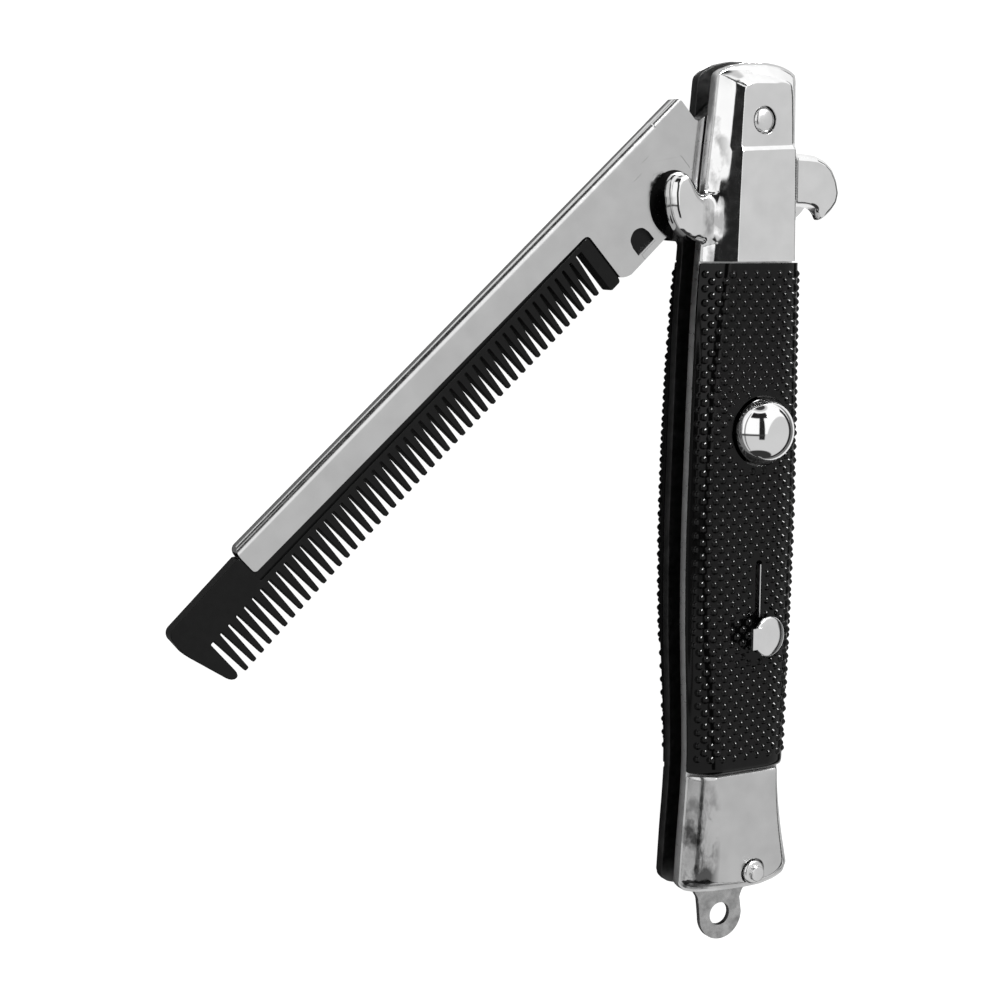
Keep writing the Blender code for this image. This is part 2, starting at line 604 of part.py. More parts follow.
def main():
    clear_scene()
    liner_steel = make_material("liner_steel", (0.56, 0.57, 0.58), 1.0, 0.35)
    grip_plastic = make_material("grip_plastic", (0.012, 0.012, 0.013), 0.0, 0.12)
    bolster_chrome = make_material("bolster_chrome", (0.86, 0.87, 0.88), 1.0, 0.12)
    rivet_steel = make_material("rivet_steel", (0.75, 0.76, 0.77), 1.0, 0.25)
    tab_steel = make_material("tab_steel", (0.6, 0.61, 0.62), 1.0, 0.38)
    button_chrome = make_material("button_chrome", (0.9, 0.9, 0.91), 1.0, 0.06)
    knob_chrome = make_material("knob_chrome", (0.85, 0.86, 0.87), 1.0, 0.15)
    channel_steel = make_material("channel_steel", (0.7, 0.71, 0.72), 1.0, 0.3)
    teeth_plastic = make_material("teeth_plastic", (0.02, 0.02, 0.022), 0.0, 0.35)
    spacer_steel = make_material("spacer_steel", (0.5, 0.51, 0.52), 1.0, 0.45)

    for side, turn in (("front", lambda body: body), ("rear", to_rear)):
        add_liner(side, turn, liner_steel)
        add_top_bolster(side, turn, bolster_chrome)
        add_bottom_bolster(side, turn, bolster_chrome)
    add_grips(grip_plastic)
    add_pivot_pin(rivet_steel)
    add_end_rivet(rivet_steel)
    add_ring_tab(tab_steel)
    add_back_spacer(spacer_steel)
    add_push_button(button_chrome)
    add_safety_slider(knob_chrome)
    add_comb_channel(channel_steel)
    add_comb_teeth(teeth_plastic)


main()
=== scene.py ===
"""Looks of the folding pocket comb, half open, lying on its back on a pale floor.

Sizes are in millimetres in the handle frame, as in the solids' source: the origin lies on
the pivot axis in the handle's mid-plane, +x is the right of the front, +y runs from the
cord ring to the pivot and +z is the front. The comb's own plan runs along u, from the pivot
to its tip, and v, from its spine to its teeth.
"""

import math

import bmesh
import bpy
import numpy as np
from mathutils import Matrix, Vector
from mathutils.geometry import delaunay_2d_cdt


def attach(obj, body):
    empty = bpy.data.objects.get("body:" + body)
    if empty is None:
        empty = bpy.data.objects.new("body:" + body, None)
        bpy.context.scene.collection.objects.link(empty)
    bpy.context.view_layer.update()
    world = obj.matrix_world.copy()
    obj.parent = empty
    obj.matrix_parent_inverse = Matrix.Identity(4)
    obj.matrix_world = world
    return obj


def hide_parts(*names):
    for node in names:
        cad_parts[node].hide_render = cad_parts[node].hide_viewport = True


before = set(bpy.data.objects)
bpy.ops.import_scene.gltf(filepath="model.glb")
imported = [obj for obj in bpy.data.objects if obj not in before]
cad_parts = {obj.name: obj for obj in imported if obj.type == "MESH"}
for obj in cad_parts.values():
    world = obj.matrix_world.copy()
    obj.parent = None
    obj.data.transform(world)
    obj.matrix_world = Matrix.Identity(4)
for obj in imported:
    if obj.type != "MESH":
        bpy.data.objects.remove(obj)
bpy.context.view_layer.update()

MM = 0.001
SLOT_HALF = 1.65
LINER_FACE = 3.15
COVER_BASE = 3.2  # covers close on the liners, without the solids' gap
CROWN = 7.35
ORIGIN = np.array([0, 56, CROWN])

COMB_BELOW_LEFT = math.radians(42.18)
U_AXIS = np.array([-math.cos(COMB_BELOW_LEFT), -math.sin(COMB_BELOW_LEFT)])
V_AXIS = np.array([math.sin(COMB_BELOW_LEFT), -math.cos(COMB_BELOW_LEFT)])

# Side edges of the handle, from the pivot end down: (y, x).
LEFT_EDGE = [
    (6, -7), (0, -7.6), (-8.8, -8.6), (-18.4, -9.25), (-27, -9.9),
    (-36, -10.25), (-49, -10.65), (-62, -10.95), (-76, -10.9),
    (-88, -10.45), (-97, -10.2), (-103, -10.4), (-110, -10.9), (-117.5, -11.35),
]
RIGHT_EDGE = [
    (6, 7.4), (0, 7.5), (-8.8, 7.55), (-18.4, 7.65), (-27, 7.7),
    (-36, 7.8), (-49, 7.95), (-62, 7.95), (-76, 7.6),
    (-88, 7.2), (-97, 6.9), (-103, 7.1), (-110, 7.9), (-117.3, 9.3),
]
# Rounded ends, from the middle to the sides: (left x, left y, right x, right y).
TOP_END = {
    "front": [(-1.3, 8.55, 1.9, 8.58), (-3.8, 8.12, 4.3, 8.25), (-5.8, 7.45, 6.2, 7.6),
              (-6.85, 6.8, 7.25, 6.95)],
    "rear": [(-1.3, 9, 1.9, 9.05), (-3.8, 8.4, 4.3, 8.6), (-5.8, 7.5, 6.2, 7.8),
             (-6.85, 6.6, 7.25, 6.95)],
}
BOTTOM_END = [(-2, -119.85, 1.5, -120), (-5, -119.65, 4.3, -119.95),
              (-8.2, -119.25, 6.9, -119.45), (-10.3, -118.6, 8.7, -118.65)]
BOTTOM_BOLSTER_INSET = 0.5

GRIP_TOP = -21.1
GRIP_BOTTOM = -99.85
GRIP_FLAT = 4.4
# Side of a grip's section, full or sloping: (part of the way from its edge to its flat, part of
# the rise). The left side is full as far as GRIP_FULLNESS says: (y, share).
GRIP_FULL = [(0, 0.2), (0.07, 0.45), (0.18, 0.64), (0.34, 0.785), (0.56, 0.895), (0.79, 0.965),
             (1, 1)]
GRIP_SLOPING = [(0, 0.06), (0.15, 0.26), (0.3, 0.46), (0.46, 0.65), (0.64, 0.83), (0.83, 0.94),
                (1, 1)]
GRIP_FULLNESS = [(-21.15, 0.1), (-27, 0.3), (-36, 0.75), (-49, 1), (-62, 1),
                 (-76, 0.8), (-88, 0.4), (-99.7, 0)]
GRIP_FOOT = 1.3  # length of the smooth roll at a grip's foot
BUMP_HEIGHT = 0.42
BUMP_RADIUS = 0.64
BUMP_SINK = 0.03
BUMP_RINGS = (1, 0.86, 0.66, 0.42, 0.2)
BUMP_SIDES = 12
BUMP_CLEARANCE = 0.62
BUMP_PITCH = (1.06, 2.125)  # across columns, along a column
BUMP_FIRST = (0.52, -22.77)  # one dome's place: across from the middle, y
# Smooth border down the left side of a grip, measured over its curve: (y, width).
SMOOTH_BORDER = [(-21, 0.35), (-60, 0.4), (-80, 0.9), (-100, 1.5)]

# Flat face of the top bolster, from the pivot end down: (left x, left y, right x, right y).
TOP_FACE = [
    (-0.6, 5.2, 0.9, 5.2), (-2.2, 5.1, 3, 5.1), (-3.2, 4.7, 4.2, 4.7), (-3.55, 3.8, 4.6, 3.8),
    (-3.6, 2.3, 4.7, 2.3), (-3.75, -0.5, 4.85, -0.5), (-3.85, -3.8, 4.95, -3.3),
    (-3.95, -4.9, 5.2, -4.4), (-4.2, -12, 5.4, -12), (-4.35, -20.85, 5.6, -20.85),
    (-4.4, -27, 5.7, -27),
]
TOP_COVER_FOOT = -20.85
FOOT_COVER_HEAD = -100.2
TOP_FACE_Z = 5.95
LOWER_FACE_Z = 6.4
FOOT_FACE_Z = 5.75
FOOT_FALL = (-113, 4.5, 0.35)  # lower end of that face: first y, length, fall
STEP_Y = (-3.55, -4.65)
STEP_LEAN = 0.05
# Flat face of the bottom bolster, in the same columns.
BOTTOM_FACE = [
    (-6, -94, 4.9, -94), (-6, -100.3, 5, -100.3), (-6.1, -105, 5.1, -105),
    (-6.4, -110, 5.6, -110), (-7.1, -114.3, 6.3, -114.3), (-7.4, -115.7, 6.6, -115.5),
    (-7.1, -116.5, 6.3, -116.6), (-6, -117.2, 5.3, -117.4), (-4, -117.6, 3.6, -117.9),
    (-1.8, -117.9, 1.1, -118.1),
]
# How steep a pressed cover is from its flange to its flat face: (part of the way, slope).
LEFT_SLOPE = [(0, 1.6), (0.2, 1.17), (0.5, 1.13), (0.6, 0.81), (0.93, 0.78), (1, 0)]
WING_SLOPE = [(0, 1.7), (0.2, 1.35), (0.3, 0.86), (0.93, 0.82), (1, 0)]
FOOT_SLOPE = [(0, 1.9), (0.22, 1.6), (0.5, 0.78), (0.93, 0.62), (1, 0)]
RIGHT_SLOPE = [(0, 1.35), (0.62, 1.3), (0.72, 0.56), (0.8, 0.53), (0.82, 0.44), (0.95, 0.42),
               (1, 0)]
FLANGE = 0.4  # width of a cover's flat flange
FLANGE_RISE = 0.14
# Where the left slope gives way to the lower one, and both to the right one: from, length.
SLOPE_DOWN = (-6, 4)
SLOPE_ACROSS = (-1.5, 5)
TOP_SIDES = (6, -27.5)  # from y, to y of the sides that a cover's base line follows
FOOT_SIDES = (-93, -117.2)
# The wings from root to tip: (outer x, outer y, inner x, inner y).
RIGHT_WING = [
    (4.6, -4.6, 4.6, -12.7), (8.6, -4.7, 8.4, -12.65), (10.7, -4.9, 9.5, -12.75),
    (12.5, -5.6, 10.1, -12.95), (13.8, -6.7, 10.6, -13.25), (14.8, -8.5, 10.95, -13.6),
    (15.3, -10.6, 11.2, -14), (14.9, -12.2, 11.35, -14.35), (13.95, -13.4, 11.5, -14.7),
    (12.9, -14.3, 11.9, -14.85),
]
LEFT_WING = [
    (-4.4, -18.5, -4.4, -9.6), (-9.2, -17.95, -8.6, -11), (-11.4, -17.8, -9.6, -11),
    (-13, -17.3, -10.4, -10.6), (-14.2, -16.3, -10.9, -10.15), (-15.1, -14.9, -11.25, -9.7),
    (-15.7, -13, -11.55, -9.25), (-15.85, -10.9, -11.8, -8.85), (-15.6, -9.2, -12.05, -8.45),
    (-14.8, -8.15, -12.4, -8.05), (-13.7, -7.7, -12.95, -7.75),
]
WING_Z = 5.5
WING_DIP = (1.2, -12.6, -7.4)  # how far the left wing sinks towards its root: depth, x, x
WING_ROUNDING = 1.9
WING_FOOT = 0.25
WING_FILLET = 1.5

PIVOT_HEAD = 1.8
PIVOT_HEAD_TOP = 6.3
PIVOT_DOME = 0.75
RIVET = (1.2, -116.65)
RIVET_HEAD = 1.9
# Section of the end rivet from the rear to the front: (radius, z).
RIVET_SECTION = [(0, -6.1), (1.5, -6.05), (1.9, -5.8), (1.9, -3.4), (1, -3.4), (1, 3.4),
                 (1.9, 3.4), (1.9, 5.75), (1.82, 5.9), (1.6, 6.02), (1.35, 6.1), (1.2, 6.15),
                 (1.2, 6.75), (1.14, 6.88), (1, 6.96), (0.6, 7), (0, 7)]

BUTTON_Y = -46.4
BUTTON_HOLE = 5.42
BUTTON_RADIUS = 5.1
BUTTON_BALL = 5.3  # radius of the ball that its dome is part of
BUTTON_BASE = 4.65
BUTTON_TOP = 11.45
SAFETY_SLOT = (-66.3, -80.8, 0.6)  # top, bottom, half width
SLOT_STRIP = (0.34, 0.54, -75.3, -67, 6.8)  # steel edge in the slot: x, x, y, y, top
SAFETY_Y = -77.9
KNOB = (0.6, SAFETY_Y, 9.3)
KNOB_TILT = math.radians(7)
# Section of the knob, from below to its crown: (radius, z).
KNOB_SECTION = [(0, -0.6), (2.7, -0.6), (3.1, -0.35), (3.1, -0.15), (2.85, 0.08), (1.9, 0.5),
                (0.95, 0.73), (0, 0.8)]
KNOB_LUG = (-3.6, -1.5, 1.65, 0.25)  # left x, right x, half length, half thickness
KNOB_BLADE = (0.3, 1.65)  # half thickness, half length

TAB_HALF = 0.45
# Neck of the ring's tab: (left x, right x, y).
TAB_ROOT = [(-2.6, 3.4, -117.6), (-6.5, 3.9, -119), (-6.3, 3.6, -120.5), (-5.75, 2.8, -121.5),
            (-5.55, 2.35, -122.6)]
RING_CENTRE = (-1.3, -125.05)
RING_OUTER = 4
HOLE_CENTRE = (-1.5, -124.85)
RING_HOLE = 1.85

SHEET = 0.5
CHANNEL_HALF = 1.35
SPINE = [(6.95, -10.98), (101, -11.77)]
SPINE_ROUNDING = 1.3
SPINE_SLOPE = 1.75  # how far the rounding runs on to the flat of the sheet
SPINE_WALL = 0.9
METAL_EDGE = [(34, -6.15), (101, -7.15)]
SPINE_FULL_U = 13  # where the spine's rounding is full
CAVITY_U = 11
TANG_LOBE = 5.6
NOTCH_CENTRE = (-12.89, -12.3)  # of the tang's round notch, in the handle's plan
NOTCH_HALF = (4.3, 4.9)
WINDOW = [(23.85, 2.05), (23.85, 0.6), (24.35, -0.6), (25.65, -1.15), (27, -0.6), (27.5, 0.6),
          (27.5, 2.05)]

# Seam and scratches on the tang: (u, v, u, v, width).
TANG_LINES = [
    (27.05, 2, 27.05, 4, 0.18), (23.9, 2.3, 27.1, 2.3, 0.14), (12.3, -1, 12.3, -3.95, 0.1),
    (12.35, -4, 16.6, -6.6, 0.1), (16.8, -7.7, 18.1, -7.7, 0.1), (16.2, -4.4, 17.9, -5.1, 0.08),
    (19.3, -6.6, 21, -6.6, 0.08),
]
LINE_DEPTH = 0.1
# Outlines as (u, v): the sheet's edge from the teeth to the tang, the tang's neck under the
# pivot, the far end of the plastic, its near end, and the hidden tongue in the channel.
SHEET_END = [(33, -6.15), (32.4, -6.05), (32.05, -5.8), (31.9, -5.4), (31.9, 2.3), (31.6, 2.6),
             (31, 3), (30.2, 3.3), (21.8, 3.3)]
TANG_NECK = [(6, -TANG_LOBE), (6.6, -5.8), (6.95, -6.3)]
TEETH_END = [(115.4, -6.4), (115.3, -5.6), (113.75, 0.4), (113.6, 0.8), (113.35, 1.2),
             (113, 1.48), (112.6, 1.55), (112.35, 1.4), (112.15, 1), (112.1, 0.5)]
TEETH_START = [(34.3, 2.5), (34.2, 2.75), (34, 2.88), (32.5, 2.88), (32.25, 2.75), (32.1, 2.4),
               (32.1, -5.1), (32.2, -5.45), (32.45, -5.7)]
TONGUE = [(11.3, -9.75), (102.5, -10.2), (102.5, -5.4), (34, -5.4), (33.4, 2), (33, 2.3),
          (11.3, 2.3)]

TOOTH_COUNT = 47
TOOTH_PITCH = 1.612
TOOTH_PITCH_GROWTH = 0.0003
LAST_TOOTH_U = 110.76
# Where the teeth end and begin along the comb: (u, v).
TOOTH_TIPS = [(35, 2.05), (44, 2.08), (57, 1.9), (70, 1.72), (80, 1.66), (91, 1.72),
              (101, 1.9), (112, 2.2)]
TOOTH_ROOTS = [(35, -4.9), (90, -5.05), (98, -4.97), (105, -4.8), (112, -4.55)]
TOOTH_TIP_HALF = 0.36
TOOTH_ROOT_HALF = 0.61
PLASTIC_EDGE_V = -5.75
TEETH_HALF = 1.2
TIP_DEPTH_HALF = 0.3
THINNING = (34.6, 111.9, -4.5, 2.6)  # first u, last u, v where it begins, v where it is full
TONGUE_HALF = 0.8

CAMERA_AZIMUTH = math.radians(-27.88882797)
CAMERA_ELEVATION = math.radians(8.34112676)
CAMERA_ROLL = math.radians(0.14242423)
CAMERA_PLACE = (-0.16670672, 0.04011144, 0.24443243)
FOCAL_PIXELS = 1863.016937
PHOTO_PIXELS = 1001
SENSOR = 36


# Lines and outlines, as arrays of points.

def through(points, spans=8):
    """A smooth line through the points, with its ends kept."""
    rows = np.array(points, float)
    padded = np.vstack([2 * rows[0] - rows[1], rows, 2 * rows[-1] - rows[-2]])
    steps = np.linspace(0, 1, spans, endpoint=False)[:, None]
    parts = []
    for a, b, c, d in zip(padded, padded[1:], padded[2:], padded[3:]):
        parts.append(0.5 * (2 * b + (c - a) * steps + (2 * a - 5 * b + 4 * c - d) * steps ** 2
                            + (3 * b - a - 3 * c + d) * steps ** 3))
    return np.vstack(parts + [rows[-1:]])


def spaced(line, spacing, closed=False):
    """The same line with points at an even spacing."""
    rows = np.vstack([line, line[:1]]) if closed else np.asarray(line, float)
    run = np.concatenate([[0], np.cumsum(np.linalg.norm(np.diff(rows, axis=0), axis=1))])
    count = max(3, int(round(run[-1] / spacing)))
    places = np.linspace(0, run[-1], count, endpoint=not closed)
    return np.column_stack([np.interp(places, run, rows[:, k]) for k in range(rows.shape[1])])


def softened(ring, reach, spacing):
    """A closed outline with its corners rounded by averaging over a short reach."""
    ring = spaced(ring, spacing, closed=True)
    width = max(1, int(round(reach / spacing)))
    for _ in range(2):
        ring = sum(np.roll(ring, k, axis=0) for k in range(-width, width + 1)) / (2 * width + 1)
    return ring


def arc(centre, radius, start, end, count):
    angles = np.radians(np.linspace(start, end, count))
    return np.column_stack([centre[0] + radius * np.cos(angles),
                            centre[1] + radius * np.sin(angles)])


def down_and_up(rungs):
    """The left points of a list of rungs, reversed, then the right ones: an open line."""
    left = [rung[0:2] for rung in reversed(rungs)]
    return left + [rung[2:4] for rung in rungs]


def edge_line(table):
    """A side edge as a dense line of (x, y), from the pivot end down."""
    return through(table, 12)[:, ::-1]


LEFT_LINE = edge_line(LEFT_EDGE)
RIGHT_LINE = edge_line(RIGHT_EDGE)


def at_height(table, y):
    """Value at y of a table of (y, value) that runs down the handle."""
    ys, values = zip(*table)
    return float(np.interp(-y, np.negative(ys), values))


def edge_x(line, y):
    return np.interp(-np.asarray(y, float), -line[:, 1], line[:, 0])


def comb_plan(points):
    """Points of the comb's plan, (u, v), in the handle's plan."""
    rows = np.asarray(points, float)
    return rows[:, :1] * U_AXIS + rows[:, 1:2] * V_AXIS


def distance(points, line, closed=False):
    """How far each point lies from a line."""
    rows = np.vstack([line, line[:1]]) if closed else line
    start, step = rows[:-1], np.diff(rows, axis=0)
    length = np.maximum((step ** 2).sum(1), 1e-12)
    best = np.full(len(points), 1e9)
    for at, along, size in zip(start, step, length):
        t = np.clip(((points - at) @ along) / size, 0, 1)
        gap = points - at - t[:, None] * along
        best = np.minimum(best, (gap ** 2).sum(1))
    return np.sqrt(best)


def inside(points, ring):
    """Whether each point lies inside a closed outline."""
    x, y = points[:, 0], points[:, 1]
    hit = np.zeros(len(points), bool)
    for (x0, y0), (x1, y1) in zip(ring, np.roll(ring, -1, axis=0)):
        if y0 != y1:
            crosses = (y0 > y) != (y1 > y)
            hit ^= crosses & (x < (x1 - x0) * (y - y0) / (y1 - y0) + x0)
    return hit


def area(ring):
    x, y = ring[:, 0], ring[:, 1]
    return 0.5 * np.sum(x * np.roll(y, -1) - y * np.roll(x, -1))


def spliced(ring, branch):
    """The outline of two overlapping shapes, where the branch leaves the ring once."""
    if area(ring) < 0:
        ring = ring[::-1]
    if area(branch) < 0:
        branch = branch[::-1]
    kept = ~inside(ring, branch)
    start = next(i for i in range(len(ring)) if kept[i] and not kept[i - 1])
    main = np.roll(ring, -start, axis=0)[:int(kept.sum())]
    out = ~inside(branch, ring)
    start = next(i for i in range(len(branch)) if out[i] and not out[i - 1])
    return np.vstack([main, np.roll(branch, -start, axis=0)[:int(out.sum())]])


# Meshes. A body is a pair of corner array and face list.

def joined(bodies):
    corners, faces, offset = [], [], 0
    for part_corners, part_faces in bodies:
        corners.append(np.asarray(part_corners, float))
        faces += [tuple(i + offset for i in face) for face in part_faces]
        offset += len(part_corners)
    return np.vstack(corners), faces


def mirrored(body):
    """The same body on the other side of the mid-plane."""
    corners, faces = body
    return np.asarray(corners, float) * (1, 1, -1), [tuple(reversed(face)) for face in faces]


def plate(outline, low, high):
    count = len(outline)
    outline = np.asarray(outline, float)
    corners = np.vstack([np.column_stack([outline, np.full(count, z)]) for z in (low, high)])
    faces = [tuple(reversed(range(count))), tuple(range(count, 2 * count))]
    faces += [(i, (i + 1) % count, count + (i + 1) % count, count + i) for i in range(count)]
    return corners, faces


def turned(section, centre, segments):
    """A body turned about an upright axis, its section starting and ending on the axis."""
    angles = 2 * np.pi * np.arange(segments) / segments
    circle = np.column_stack([np.cos(angles), np.sin(angles)])
    corners = [(*centre, section[0][1])]
    for radius, z in section[1:-1]:
        corners += [(x, y, z) for x, y in circle * radius + np.array(centre)]
    corners.append((*centre, section[-1][1]))
    last, rings, faces = len(corners) - 1, len(section) - 2, []
    for i in range(segments):
        j = (i + 1) % segments
        faces.append((0, 1 + j, 1 + i))
        for ring in range(rings - 1):
            start = 1 + ring * segments
            faces.append((start + i, start + j, start + segments + j, start + segments + i))
        start = 1 + (rings - 1) * segments
        faces.append((start + i, start + j, last))
    return np.array(corners), faces


def rod(centre, radius, low, high, segments=48):
    return turned([(0, low), (radius, low), (radius, high), (0, high)], centre, segments)


def linked(name, data):
    item = bpy.data.objects.new(name, data)
    bpy.context.scene.collection.objects.link(item)
    return item


def new_mesh(name, body):
    """A body's mesh, in metres from the frame's origin."""
    corners, faces = body
    mesh = bpy.data.meshes.new(name)
    mesh.from_pydata(((np.asarray(corners, float) + ORIGIN) * MM).tolist(), [], faces)
    return mesh


def make_object(name, body):
    mesh = new_mesh(name, body)
    build = bmesh.new()
    build.from_mesh(mesh)
    bmesh.ops.recalc_face_normals(build, faces=build.faces)
    build.to_mesh(mesh)
    build.free()
    return linked(name, mesh)


def bake(item):
    """Apply an object's modifiers."""
    graph = bpy.context.evaluated_depsgraph_get()
    result = bpy.data.meshes.new_from_object(item.evaluated_get(graph))
    item.modifiers.clear()
    item.data = result


def combine(item, operation, bodies):
    for body in bodies:
        tool = make_object("tool", body)
        step = item.modifiers.new("step", "BOOLEAN")
        step.operation = operation
        step.solver = "EXACT"
        step.object = tool
        bake(item)
        bpy.data.objects.remove(tool, do_unlink=True)


def soften_edges(item, width, segments=2, angle=30):
    """Small rounds on every crisp edge, so that it catches the light."""
    step = item.modifiers.new("round", "BEVEL")
    step.width = width * MM
    step.segments = segments
    step.limit_method = "ANGLE"
    step.angle_limit = math.radians(angle)
    bake(item)


def dress(item, body, material, slot, *nodes, sharp=35):
    """Shade a piece, give it its material and put it on its body in place of its solids."""
    if sharp:
        item.data.shade_smooth()
        item.data.set_sharp_from_angle(angle=math.radians(sharp))
        item.modifiers.new("flat_faces", "WEIGHTED_NORMAL").keep_sharp = True
        bake(item)
    item.data.materials.clear()
    item.data.materials.append(material)
    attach(item, body)
    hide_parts(*nodes)
    return item


# Reliefs: sheets over a plan outline whose height is a function of the place.

RIM = 0.22  # width of a recess's soft rim
ROW_DEPTHS = (0.03, 0.07, 0.13, 0.2, 0.3, 0.42, 0.56, 0.72)
SPARSE_DEPTH = 0.25  # rows further in have half as many points
NUDGE = 0.004  # step over which a slope is measured


def clearance(points, rings):
    """How far each point lies from the nearest of some closed outlines."""
    return np.min([distance(points, ring, closed=True) for ring in rings], axis=0)


def edge_rows(ring, rings):
    """Close rows of points along one edge of a sheet, whose outline comes first in rings."""
    along = np.roll(ring, -1, axis=0) - np.roll(ring, 1, axis=0)
    along /= np.linalg.norm(along, axis=1)[:, None]
    inward = np.column_stack([-along[:, 1], along[:, 0]]) * np.sign(area(ring))
    if ring is not rings[0]:
        inward = -inward
    rows = []
    for depth in ROW_DEPTHS:
        row = ring + inward * depth
        if depth > SPARSE_DEPTH:
            row = row[::2]
        rows.append(row[clearance(row, rings) > depth * 0.93])
    return rows


def free_points(rings, grid, recess):
    """Points of a sheet off its edges: rows along them, rings round a recess and a grid."""
    free = [row for ring in rings for row in edge_rows(ring, rings)]
    lowest, highest = rings[0].min(0), rings[0].max(0)
    xs = np.arange(lowest[0] + grid / 2, highest[0], grid)
    ys = np.arange(lowest[1] + grid / 2, highest[1], grid)
    field = np.array([(x + (k % 2) * grid / 2, y) for k, y in enumerate(ys) for x in xs])
    field = field[clearance(field, rings) > ROW_DEPTHS[-1] + grid / 2]
    if recess:
        centre, radius = recess
        out = np.linalg.norm(field - centre, axis=1) - radius + RIM / 2
        field = field[np.abs(out) > RIM]
        radii = radius + np.linspace(-1.3, 0.3, 9) * RIM
        free += [arc(centre, size, 0, 360, 97)[:-1] for size in radii]
    return np.vstack(free + [field])


def triangulated(points, bounds, on_sheet):
    """Triangles of a sheet between plan points: corners, faces, the points each corner comes from."""
    found = delaunay_2d_cdt([Vector(point) for point in points], bounds, [], 1, 1e-6)
    plan = np.array([tuple(point) for point in found[0]])
    middle = np.array([plan[list(face)].mean(0) for face in found[2]])
    faces = [tuple(face) for face, wanted in zip(found[2], on_sheet(middle)) if wanted]
    return plan, faces, found[3]


def top_normals(height, plan):
    """Normals of the surface that height(points) describes."""
    slopes = [(height(plan + step) - height(plan - step)) / (2 * NUDGE)
              for step in np.eye(2) * NUDGE]
    normals = np.column_stack([-slopes[0], -slopes[1], np.ones(len(plan))])
    return normals / np.linalg.norm(normals, axis=1)[:, None]


def relief(outline, holes, height, low, grid, rear=False, recess=None):
    """A closed body over an outline, its top at height(points) and its underside at low.

    Returns the body, the normal of each corner of its top and the number of faces there. The
    top is sampled on a grid, and in close rows along every edge and round the rim of a recess
    (centre, radius).
    """
    def on_sheet(points):
        on = inside(points, outline)
        for hole in holes:
            on &= ~inside(points, hole)
        return on

    rings = [outline] + list(holes)
    bounds = []
    for ring in rings:
        start = len(bounds)
        bounds += [(start + i, start + (i + 1) % len(ring)) for i in range(len(ring))]
    free = free_points(rings, grid, recess)
    plan, top, origins = triangulated(np.vstack(rings + [free[on_sheet(free)]]), bounds, on_sheet)
    place = {old: new for new, olds in enumerate(origins) for old in olds}
    rim = list(dict.fromkeys(place[i] for i in range(len(bounds))))
    under = {corner: len(plan) + k for k, corner in enumerate(rim)}
    order = {corner: k for k, corner in enumerate(rim)}
    walls = [(place[a], place[b]) for a, b in bounds if place[a] != place[b]]
    faces = top + [(under[a], under[b], b, a) for a, b in walls]
    _, bottom, origins = triangulated(plan[rim], [(order[a], order[b]) for a, b in walls], on_sheet)
    back = {new: len(plan) + olds[0] for new, olds in enumerate(origins) if olds}
    faces += [tuple(back[i] for i in reversed(face)) for face in bottom
              if all(i in back for i in face)]
    corners = np.vstack([np.column_stack([plan, height(plan)]),
                         np.column_stack([plan[rim], np.full(len(rim), low)])])
    normals = top_normals(height, plan)
    if rear:
        corners, faces = mirrored((corners, faces))
        normals = normals * (1, 1, -1)
    return (corners, faces), normals, len(top)


def relief_object(name, body, normals, top_faces, extra=()):
    """An object from a relief, with the exact normals of its top, and other bodies joined."""
    mesh = new_mesh(name, joined([body] + list(extra)))
    mesh.shade_smooth()
    mesh.set_sharp_from_angle(angle=math.radians(40))
    mesh.update()
    given = []
    count = len(body[1])
    for face in mesh.polygons:
        if face.index < top_faces:
            given += [normals[i] for i in face.vertices]
        elif face.index < count:
            given += [tuple(face.normal)] * len(face.vertices)
        else:
            given += [(0.0, 0.0, 0.0)] * len(face.vertices)
    mesh.normals_split_custom_set([tuple(n) for n in given])
    return linked(name, mesh)


def blend_max(a, b, reach):
    """The larger of two heights, with a fillet where they meet."""
    near = np.maximum(reach - np.abs(a - b), 0) / reach
    return np.maximum(a, b) + near ** 2 * reach / 4


def ease(t):
    t = np.clip(t, 0, 1)
    return t * t * (3 - 2 * t)


def cover_rise(slopes):
    """Rise of a pressed cover against the part of the way from its flange to its face."""
    t = np.linspace(0, 1, 600)
    slope = np.interp(t, *np.array(slopes).T)
    kernel = np.ones(31) / 31
    slope = np.convolve(np.pad(slope, 15, mode="edge"), kernel, mode="valid")
    rise = np.concatenate([[0], np.cumsum((slope[1:] + slope[:-1]) / 2)])
    return t, rise / rise[-1]


RISES = {name: cover_rise(slopes) for name, slopes in
         (("left", LEFT_SLOPE), ("wing", WING_SLOPE), ("foot", FOOT_SLOPE), ("right", RIGHT_SLOPE))}
LIP_LENGTH = 0.6  # rolled upper edge of the bottom bolsters
LIP_DROP = 0.09


def pressed(points, base_line, face_line, face_z, low, upper, lower):
    """Height of a pressed cover between its base line and its flat face.

    Its left side rises as `upper` says near the pivot and as `lower` says further down.
    """
    to_base = distance(points, base_line)
    in_face = inside(points, face_line)
    to_face = np.where(in_face, 0, distance(points, face_line, closed=True))
    slope = np.maximum(to_base - FLANGE, 0)
    t = slope / np.maximum(slope + to_face, 1e-9)
    down = ease((SLOPE_DOWN[0] - points[:, 1]) / SLOPE_DOWN[1])
    rise = (1 - down) * np.interp(t, *RISES[upper]) + down * np.interp(t, *RISES[lower])
    right = ease((points[:, 0] - SLOPE_ACROSS[0]) / SLOPE_ACROSS[1])
    rise = (1 - right) * rise + right * np.interp(t, *RISES["right"])
    flange = low + FLANGE_RISE * np.minimum(0.5 + to_base / FLANGE / 2, 1)
    return flange + (face_z - low - FLANGE_RISE) * rise


def dimple(points, recess, depth):
    """A round recess with a soft rim."""
    centre, radius = recess
    out = np.linalg.norm(points - np.array(centre), axis=1)
    return depth * (1 - ease((out - radius + RIM) / RIM))


# Covers of the handle.

